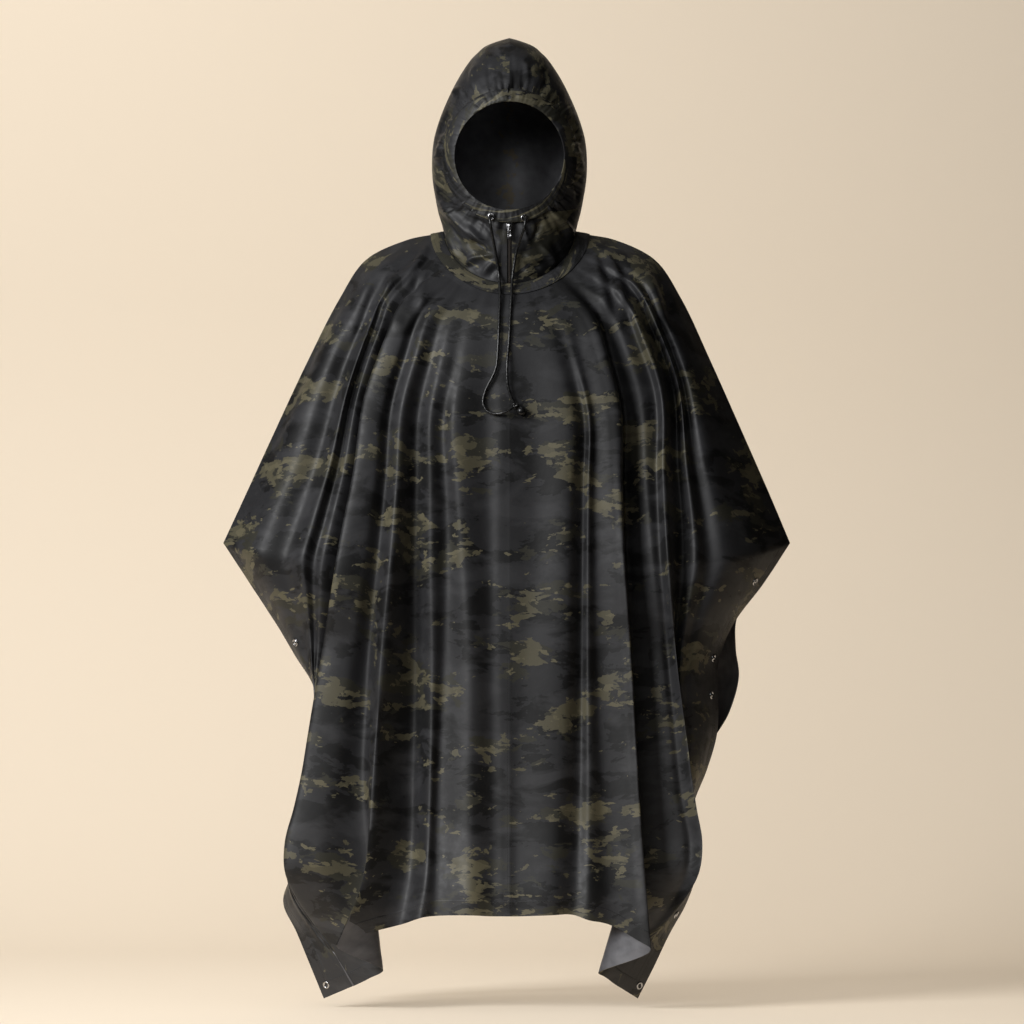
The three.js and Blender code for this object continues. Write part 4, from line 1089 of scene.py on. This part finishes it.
# Fasteners: each is a half section in millimetres, out from its axis and up from the cloth
fastenerLook = {
    "sides": 36,
    "lift": {"snap": 0.05, "grommet": 0.05, "eyelet": 1.6},
    "snapSection": [
        (6.5, 0), (6.5, 0.9), (6.15, 1.6), (5.6, 2.0), (5.0, 2.0), (4.5, 1.5), (4.2, 0.7), (3.1, 0.65),
        (2.85, 1.4), (2.5, 2.0), (1.9, 2.3), (0.9, 2.4),
    ],
    "grommetSection": [
        (6.5, 0), (6.5, 0.5), (6.1, 1.15), (5.4, 1.5), (4.6, 1.5), (3.8, 1.15), (3.2, 0.5), (3.0, -0.3),
        (3.2, 0),
    ],
    "eyeletSection": [
        (6.0, 0), (6.0, 0.5), (5.6, 1.2), (4.9, 1.6), (4.1, 1.55), (3.4, 1.1), (2.9, 0.4), (2.7, -0.4),
        (2.9, 0),
    ],
}


def deselectAll():
    if bpy.context.object and bpy.context.object.mode != "OBJECT":
        bpy.ops.object.mode_set(mode="OBJECT")
    bpy.ops.object.select_all(action="DESELECT")


def editAll():
    bpy.ops.object.mode_set(mode="EDIT")
    bpy.ops.mesh.select_all(action="SELECT")


def leaveEdit():
    bpy.ops.object.mode_set(mode="OBJECT")


def extrudeBy(x, y, z):
    bpy.ops.mesh.extrude_region_move(TRANSFORM_OT_translate={"value": (x, y, z)})


def resizeBy(x, y, z, **about):
    bpy.ops.transform.resize(value=(x, y, z), **about)


def newBlock(size, place):
    # a block in edit mode with all of it selected
    deselectAll()
    bpy.ops.mesh.primitive_cube_add(size=1, location=place)
    block = bpy.context.object
    editAll()
    resizeBy(*size)
    return block


def turnedPiece(name, section, isRing, sides):
    # a circle pulled up and drawn in ring by ring, as on a lathe
    deselectAll()
    radius, height = section[0]
    fill = "NOTHING" if isRing else "NGON"
    bpy.ops.mesh.primitive_circle_add(
        vertices=sides, radius=radius * mm, fill_type=fill, location=(0, 0, 0)
    )
    piece = bpy.context.object
    piece.name = piece.data.name = name
    editAll()
    for nextRadius, nextHeight in section[1:] + ([section[0]] if isRing else []):
        extrudeBy(0, 0, (nextHeight - height) * mm)
        resizeBy(nextRadius / radius, nextRadius / radius, 1)
        radius, height = nextRadius, nextHeight
    bpy.ops.mesh.select_all(action="SELECT")
    bpy.ops.mesh.remove_doubles(threshold=1e-6)
    bpy.ops.mesh.normals_make_consistent(inside=False)
    leaveEdit()
    bpy.ops.object.shade_smooth_by_angle(angle=math.radians(50))
    piece.data.materials.append(metal)
    return piece


def surfaceTree(grid):
    rows, columns = grid.shape[:2]
    r, c = (a.ravel() for a in np.mgrid[0 : rows - 1, 0 : columns - 1])
    first = r * columns + c
    faces = np.stack([first, first + columns, first + columns + 1, first + 1], -1)
    return BVHTree.FromPolygons(grid.reshape(-1, 3).tolist(), faces.tolist())


def seatOn(tree, near, outward):
    point, normal, _, _ = tree.find_nearest(Vector(near))
    return point, normal if normal.dot(Vector(outward)) > 0 else -normal


def nodeBox(node):
    # two corners of a CAD node's box and its middle, in metres
    low, high = (Vector(corner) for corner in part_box(node))
    return low, high, (low + high) / 2


panelTrees = {name: surfaceTree(panel["grid"]) for name, panel in panels.items()}
casingTree = surfaceTree(np.concatenate([casingOuter, casingOuter[:, :1]], axis=1))
patterns = {}
for kind in ("snap", "grommet", "eyelet"):
    section = fastenerLook[kind + "Section"]
    patterns[kind] = turnedPiece(kind + "Pattern", section, kind != "snap", fastenerLook["sides"])
fasteners = {}
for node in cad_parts:
    kind = node.split("_")[0]
    if kind not in patterns:
        continue
    middle = nodeBox(node)[2] / mm
    if kind == "eyelet":
        tree, host, outward = casingTree, "face_casing", (0, -1, 0)
    else:
        host = ("front" if "front" in node else "back") + ("_left" if "left" in node else "_right")
        tree, outward = panelTrees[host], (middle.x, (-1 if "front" in node else 1) * 300, 0)
    point, normal = seatOn(tree, middle, outward)
    mesh = patterns[kind].data.copy()
    place = Matrix.Translation((point + normal * fastenerLook["lift"][kind]) * mm)
    mesh.transform(place @ normal.to_track_quat("Z", "Y").to_matrix().to_4x4())
    mesh.name = node + "_plated"
    piece = addObject(node + "_plated", mesh)
    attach(piece, garment)
    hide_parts(node)
    fasteners.setdefault(host, []).append(piece)
for pattern in patterns.values():
    bpy.data.objects.remove(pattern)
print("fasteners made")

# Throat zip: woven tapes under the hood's edges, coil teeth, slider with its bridge, and the pull tab
zipLook = {
    "tapeDepth": 1.6, "tapeThickness": 0.8, "tapeInner": 2.9, "topShare": 0.8, "columns": 9,
    "tooth": {
        "size": (2.9, 1.5, 0.85), "pitch": 1.5, "proud": 0.5, "offset": 0.75, "straight": 0.6, "tip": 0.5,
    },
    "slider": {
        "width": 9, "height": 11, "depth": 3, "lowerEnd": 0.62, "bevel": 0.7,
        "step": 0.25, "stepHalfWidth": 1.2,
        "bridge": 0.5, "bridgeReach": 1.35, "bridgeOut": 1.6, "bridgeSunk": 0.3, "bridgeRise": 0.1,
        "bridgeSides": 10,
    },
    # shares of the pull's own width and length, then sizes in millimetres
    "pull": {
        "neck": 0.6, "levels": ((0.3, 1.25), (0.75, 1.667), (0.93, 1.3)), "tip": 0.7,
        "eyeFrom": 0.22, "gripBelow": 0.03, "gripReach": 0.05,
        "bevel": 0.25, "eyeRim": 0.95, "inset": 0.9, "dish": 0.25,
    },
}


def throatGrid(side):
    hood = hoods["hood_left" if side < 0 else "hood_right"]
    last = int(hoodCut["throatRows"] * zipLook["topShare"]) + 1
    columns = zipLook["columns"]
    return hood["grid"][:last, :columns], hood["normals"][:last, :columns]


for name, side in (("zip_tape_left", -1), ("zip_tape_right", 1)):
    grid, normals = throatGrid(side)
    face = grid - normals * zipLook["tapeDepth"]
    lip = face[:, :1].copy()
    lip[..., 0] = side * zipLook["tapeInner"]
    face = np.concatenate([lip, face], axis=1)
    back = face.copy()
    back[..., 1] += zipLook["tapeThickness"]
    flat = np.stack([face[..., 0], face[..., 2]], -1)
    tape = wallPiece(name + "_woven", face, back, flat, [tapeCloth])
    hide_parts(name)


def zipTooth(look):
    # one turn of the coil: a small block drawn in at both ends
    wide, deep, high = (value * mm for value in look["size"])
    tooth = newBlock((wide * look["straight"], deep, high), (0, 0, 0))
    for end in (1, -1):
        bpy.ops.mesh.select_all(action="DESELECT")
        leaveEdit()
        for polygon in tooth.data.polygons:
            polygon.select = polygon.normal.x * end > squareOn
        bpy.ops.object.mode_set(mode="EDIT")
        extrudeBy(end * wide * (1 - look["straight"]) / 2, 0, 0)
        resizeBy(1, look["tip"], look["tip"])
    leaveEdit()
    points = np.array([vertex.co[:] for vertex in tooth.data.vertices]) / mm
    faces = [list(polygon.vertices) for polygon in tooth.data.polygons]
    bpy.data.objects.remove(tooth)
    return points, faces


def copiesOf(points, faces, places):
    allPoints, allFaces = [], []
    for index, (origin, turn) in enumerate(places):
        allPoints.append(points @ turn.T + origin)
        allFaces.extend([[corner + index * len(points) for corner in face] for face in faces])
    return np.concatenate(allPoints), allFaces


toothLook = zipLook["tooth"]
toothPoints, toothFaces = zipTooth(toothLook)
chainLine = throatGrid(1)[0][:, 0].copy()
chainLine[:, 0] = 0
chainReach = reachOf(chainLine)
toothPlaces = []
for index in range(int(chainReach[-1] / toothLook["pitch"])):
    at = (index + 0.5) * toothLook["pitch"]
    offset = toothLook["offset"] if index % 2 else -toothLook["offset"]
    point = lineAt(chainLine, chainReach, at) + (offset, -toothLook["proud"], 0)
    toothPlaces.append((point, np.eye(3)))
chainPoints, chainFaces = copiesOf(toothPoints, toothFaces, toothPlaces)
chain = newPiece("zip_chain_coil", chainPoints, chainFaces, [coil], smooth=False)
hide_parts("zip_chain")


def selectFaces(piece, test):
    # faces for the next step of modelling
    bpy.ops.object.mode_set(mode="EDIT")
    bpy.ops.mesh.select_mode(type="FACE")
    bpy.ops.mesh.select_all(action="DESELECT")
    leaveEdit()
    for polygon in piece.data.polygons:
        polygon.select = bool(test(polygon))
    bpy.ops.object.mode_set(mode="EDIT")


def applyBevel(piece, width, segments):
    bevel = piece.modifiers.new("edges", "BEVEL")
    bevel.width = width * mm
    bevel.segments = segments
    bevel.limit_method = "ANGLE"
    bevel.angle_limit = math.radians(35)
    bpy.ops.object.modifier_apply(modifier=bevel.name)


def settlePiece(piece, node, ending, body, material):
    # place and size go into the mesh, so the object stays at the origin
    deselectAll()
    piece.select_set(True)
    bpy.context.view_layer.objects.active = piece
    bpy.ops.object.transform_apply(location=True, rotation=True, scale=True)
    bpy.ops.object.shade_smooth_by_angle(angle=math.radians(40))
    piece.name = piece.data.name = node + ending
    piece.data.materials.clear()
    piece.data.materials.append(material)
    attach(piece, body)
    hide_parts(node)
    return piece


def makeSlider(look):
    low, high, middle = nodeBox("zip_slider")
    slider = newBlock((look["width"] * mm, look["depth"] * mm, look["height"] * mm), middle)
    bpy.ops.mesh.subdivide(number_cuts=2)
    # the lower end is narrower, and the front has a raised middle
    selectFaces(slider, lambda face: face.normal.z < -squareOn)
    resizeBy(look["lowerEnd"], 1, 1, center_override=middle)
    stepHalf = look["stepHalfWidth"] * mm
    selectFaces(slider, lambda face: face.normal.y < -squareOn and abs(face.center.x) < stepHalf)
    extrudeBy(0, -look["step"] * mm, 0)
    leaveEdit()
    applyBevel(slider, look["bevel"], 2)
    # the bridge that the pull hangs on: a wire straight out, over a half turn and back
    wire, reach, out = look["bridge"] * mm, look["bridgeReach"] * mm, look["bridgeOut"] * mm
    centre = Vector((0, low.y + look["bridgeSunk"] * mm, middle.z + look["bridgeRise"] * mm))
    bpy.ops.object.mode_set(mode="EDIT")
    bpy.ops.mesh.select_mode(type="VERT")
    bpy.ops.mesh.select_all(action="DESELECT")
    bpy.ops.mesh.primitive_circle_add(
        vertices=look["bridgeSides"],
        radius=wire,
        location=centre + Vector((0, 0, reach)),
        rotation=(math.pi / 2, 0, 0),
    )
    extrudeBy(0, -out, 0)
    turnAt = centre - Vector((0, out, 0))
    bpy.ops.mesh.spin(steps=look["bridgeSides"], angle=math.pi, axis=(1, 0, 0), center=turnAt)
    extrudeBy(0, out, 0)
    bpy.ops.mesh.edge_face_add()
    bpy.ops.mesh.select_all(action="DESELECT")
    bpy.ops.mesh.select_non_manifold()
    bpy.ops.mesh.edge_face_add()
    bpy.ops.mesh.select_all(action="SELECT")
    bpy.ops.mesh.normals_make_consistent(inside=False)
    leaveEdit()
    return settlePiece(slider, "zip_slider", "_plated", garment, metal)


def makePull(look):
    low, high, middle = nodeBox("zip_pull")
    size = high - low
    pull = newBlock((size.x * look["neck"], size.y, size.z), middle)
    # the lower part widens to the grip and ends round
    for share, wide in look["levels"]:
        level = high.z - size.z * share
        bpy.ops.mesh.select_all(action="SELECT")
        bpy.ops.mesh.bisect(plane_co=(0, middle.y, level), plane_no=(0, 0, 1))
        resizeBy(wide, 1, 1, center_override=(0, middle.y, level))
    selectFaces(pull, lambda face: face.normal.z < -squareOn)
    resizeBy(look["tip"], 1, 1)
    # the eye for the bridge goes right through the top
    eyeZ = size.z * look["eyeFrom"]
    selectFaces(pull, lambda face: abs(face.normal.y) > squareOn and face.center.z > eyeZ)
    bpy.ops.mesh.inset(thickness=look["eyeRim"] * mm, use_individual=True)
    bpy.ops.mesh.bridge_edge_loops()
    # a dish in the grip on both sides
    gripZ, near = -size.z * look["gripBelow"], size.z * look["gripReach"]
    selectFaces(pull, lambda face: abs(face.normal.y) > squareOn and abs(face.center.z - gripZ) < near)
    bpy.ops.mesh.inset(thickness=look["inset"] * mm, use_individual=True)
    bpy.ops.mesh.extrude_region_shrink_fatten(TRANSFORM_OT_shrink_fatten={"value": -look["dish"] * mm})
    leaveEdit()
    applyBevel(pull, look["bevel"], 2)
    return settlePiece(pull, "zip_pull", "_plated", "pull_tab", metal)


makeSlider(zipLook["slider"])
makePull(zipLook["pull"])
print("zip made")

# Overhand knot where the two strands meet, and the lock that gathers them
knotLook = {"turn": 3.4, "cord": 2.1, "steps": 90, "sides": 12, "flatten": 0.9}
lockLook = {
    # shares of the lock's radius
    "shape": (1, 0.92, 0.97), "segments": 28, "rim": 0.08, "collarFrom": 0.8, "collarHeight": 0.06,
    "buttonFrom": 0.86, "buttonDepth": 0.1,
}


def makeKnot():
    middle = np.array(nodeBox("cord_knot")[2] / mm)
    t = np.linspace(0, 2 * math.pi, knotLook["steps"], endpoint=False)
    loop = np.stack([np.sin(t) + 2 * np.sin(2 * t), np.cos(t) - 2 * np.cos(2 * t), -np.sin(3 * t)], -1)
    loop *= knotLook["turn"] / 3
    path = middle + np.stack([loop[:, 0], loop[:, 2] * knotLook["flatten"], loop[:, 1]], -1)
    path = np.concatenate([path, path[:1]])
    knot = tubeAlong("cord_knot_tied", path, knotLook["cord"], knotLook["sides"])
    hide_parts("cord_knot")
    return knot


def makeLock(look):
    low, high, middle = nodeBox("cord_lock")
    radius = (high.x - low.x) / 2
    deselectAll()
    bpy.ops.mesh.primitive_uv_sphere_add(
        segments=look["segments"], ring_count=look["segments"] // 2, radius=radius, location=middle
    )
    lock = bpy.context.object
    editAll()
    resizeBy(*look["shape"])
    # a collar at the cord's way in and a sunk button on the far side
    selectFaces(lock, lambda face: face.center.z > radius * look["collarFrom"])
    bpy.ops.mesh.inset(thickness=radius * look["rim"])
    extrudeBy(0, 0, radius * look["collarHeight"])
    selectFaces(lock, lambda face: face.center.z < -radius * look["buttonFrom"])
    bpy.ops.mesh.inset(thickness=radius * look["rim"])
    extrudeBy(0, 0, radius * look["buttonDepth"])
    leaveEdit()
    return settlePiece(lock, "cord_lock", "_moulded", garment, lockPlastic)


knotPiece = makeKnot()
lockPiece = makeLock(lockLook)
print("knot and lock made")

# Lockstitch in matching thread, drawn a little coarse so that it shows at this size
stitchLook = {
    "pitch": 4.6, "length": 3.3, "wide": 0.55, "high": 0.4,
    "hem": 22, "side": 16, "seam": 3.2, "seamFromZ": -600,
}
stitchShape = np.array([
    (-1, 0, 0), (-0.4, 1, 0), (0.4, 1, 0), (1, 0, 0), (0.4, -1, 0), (-0.4, -1, 0),
    (-0.35, 0, 1), (0.35, 0, 1),
])
stitchFaces = [(0, 6, 1), (1, 6, 7, 2), (2, 7, 3), (3, 7, 4), (4, 7, 6, 5), (5, 6, 0), (0, 1, 2, 3, 4, 5)]


def stitchRow(points, normals):
    # places for one row of stitches along a line on the cloth
    points, normals = np.asarray(points, float), np.asarray(normals, float)
    reach = reachOf(points)
    count = int(reach[-1] / stitchLook["pitch"])
    if count < 2:
        return []
    at = (np.arange(count) + 0.5) * reach[-1] / count
    middle = lineAt(points, reach, at)
    ahead = unit(lineAt(points, reach, at + 1) - lineAt(points, reach, at - 1))
    side = unit(np.cross(lineAt(normals, reach, at), ahead))
    up = np.cross(ahead, side)
    scale = np.array([stitchLook["length"] / 2, stitchLook["wide"] / 2, stitchLook["high"]])
    return [(middle[i], np.stack([ahead[i], side[i], up[i]], -1) * scale) for i in range(count)]


def lineFromEdge(grid, normals, distance):
    # the line that stays a set distance in from the last row of a grid, and its normals
    line, up = [], []
    for column in range(grid.shape[1]):
        reach = reachOf(grid[::-1, column])
        place = np.interp(distance, reach, np.arange(len(reach)))
        low = min(int(place), len(grid) - 2)
        last = len(grid) - 1 - low
        line.append(mix(grid[last, column], grid[last - 1, column], place - low))
        up.append(normals[last, column])
    return np.array(line), np.array(up)


def stitchPiece(name, places):
    points, faces = copiesOf(stitchShape, stitchFaces, places)
    return newPiece(name, points, faces, [threadYarn], smooth=False)


def ringStitches(points, normals):
    return stitchRow(np.concatenate([points, points[:1]]), np.concatenate([normals, normals[:1]]))


for name, panel in panels.items():
    grid, normals = panel["grid"], panel["normals"]
    line, up = lineFromEdge(grid, normals, stitchLook["hem"])
    clear = reachAlong(grid[-1:, ::-1], 1)[0, ::-1] > stitchLook["hem"]
    places = stitchRow(line[clear], up[clear])
    # the side edge is the last column, free below the arm point
    free = slice(panel["tipRow"] + 1, None)
    turned, turnedNormals = (np.swapaxes(values[free], 0, 1) for values in (grid, normals))
    line, up = lineFromEdge(turned, turnedNormals, stitchLook["side"])
    clear = reachAlong(grid[::-1, -1:], 0)[::-1][free, 0] > stitchLook["hem"]
    places += stitchRow(line[clear], up[clear])
    low = int(np.argmax(grid[:, 0, 2] < stitchLook["seamFromZ"]))
    across = unit(grid[low:, 1] - grid[low:, 0])
    places += stitchRow(grid[low:, 0] + across * stitchLook["seam"], normals[low:, 0])
    stitchPiece(name + "_stitches", places)

bandStitches = []
for row in (2, bandLook["rows"] - 3):
    bandStitches += ringStitches(bandOuter[row], bandNormals[row])
bandStitchPiece = stitchPiece("neck_band_stitches", bandStitches)
casingRow = casingLook["rows"] - 2
casingStitches = ringStitches(casingOuter[casingRow], casingNormals[casingRow])
casingStitchPiece = stitchPiece("face_casing_stitches", casingStitches)
print("stitches made")

# Floor and backdrop, seamless beige paper
stageLook = {
    "colour": "#e4d8c6", "floorZ": -1222, "frontY": -620, "wallY": 2600, "topZ": 6000, "bend": 1200,
    "bendSteps": 12, "half": 1900,
}


def addStage(look):
    shaderInputs = {"Roughness": 0.9, "Base Color": toLinear(look["colour"])}
    material, tree, shader = newMaterial("beigePaper", shaderInputs)
    # the back of the paper is clear, so the garment can be looked at from behind
    behind = addNode(tree, "ShaderNodeNewGeometry", output="Backfacing")
    sides = {0: behind, 1: shader.outputs[0], 2: addNode(tree, "ShaderNodeBsdfTransparent")}
    surface = addNode(tree, "ShaderNodeMixShader", inputs=sides)
    tree.links.new(surface, tree.nodes["Material Output"].inputs["Surface"])
    profile = [(look["frontY"], look["floorZ"])]
    for angle in np.linspace(0, math.pi / 2, look["bendSteps"] + 1):
        y = look["wallY"] - look["bend"] * (1 - math.sin(angle))
        profile.append((y, look["floorZ"] + look["bend"] * (1 - math.cos(angle))))
    profile.append((look["wallY"], look["topZ"]))
    points = [(x, y, z) for y, z in profile for x in (-look["half"], look["half"])]
    faces = [(i * 2, i * 2 + 1, i * 2 + 3, i * 2 + 2) for i in range(len(profile) - 1)]
    mesh = bpy.data.meshes.new("paperSweep")
    mesh.from_pydata((np.array(points) * mm).tolist(), [], faces)
    mesh.materials.append(material)
    mesh.polygons.foreach_set("use_smooth", np.ones(len(mesh.polygons), bool))
    sweep = addObject("paperSweep", mesh)
    return sweep


def addSoftLight(name, place, target, size, power, colour):
    data = bpy.data.lights.new(name, "AREA")
    data.shape = "RECTANGLE"
    data.size, data.size_y = size
    data.energy = power
    data.color = toLinear(colour)[:3]
    lamp = addObject(name, data)
    lamp.location = place
    lamp.rotation_euler = (Vector(target) - Vector(place)).to_track_quat("-Z", "Y").to_euler()
    return lamp


# place, target and size in metres, power in watts; the last two are flagged off the garment
lampPlan = {
    "keySoftbox": ((-3.6, -3.3, 1.5), (0, 0, -0.2), (2.2, 2.2), 235, "#ffffff"),
    "frontSoftbox": ((-0.9, -4.4, 1.5), (0, 0, -0.2), (2.2, 1.6), 24, "#ffffff"),
    "topSoftbox": ((0, -0.6, 3.2), (0, 0, -0.3), (1.6, 1.2), 5, "#ffffff"),
    "wallWash": ((-1.6, 0.5, 2.5), (-0.8, 2.4, -1.3), (4, 1.6), 78, "#fff8f0"),
    "floorWash": ((0, -1.2, 1.6), (0, -0.45, -1.2), (3.2, 0.8), 32, "#fff8f0"),
}
paperOnly = bpy.data.collections.new("paperOnly")
paperOnly.objects.link(addStage(stageLook))
for name, plan in lampPlan.items():
    lamp = addSoftLight(name, *plan)
    if name in ("wallWash", "floorWash"):
        lamp.light_linking.receiver_collection = paperOnly
        lamp.light_linking.blocker_collection = paperOnly
world = bpy.data.worlds.new("studioAir")
world.use_nodes = True
air = world.node_tree.nodes["Background"].inputs
air["Color"].default_value = toLinear("#efe6d6")
air["Strength"].default_value = 0.012
bpy.context.scene.world = world
print("lights made")

for name, cord in cords.items():
    route = cordPaths[name]
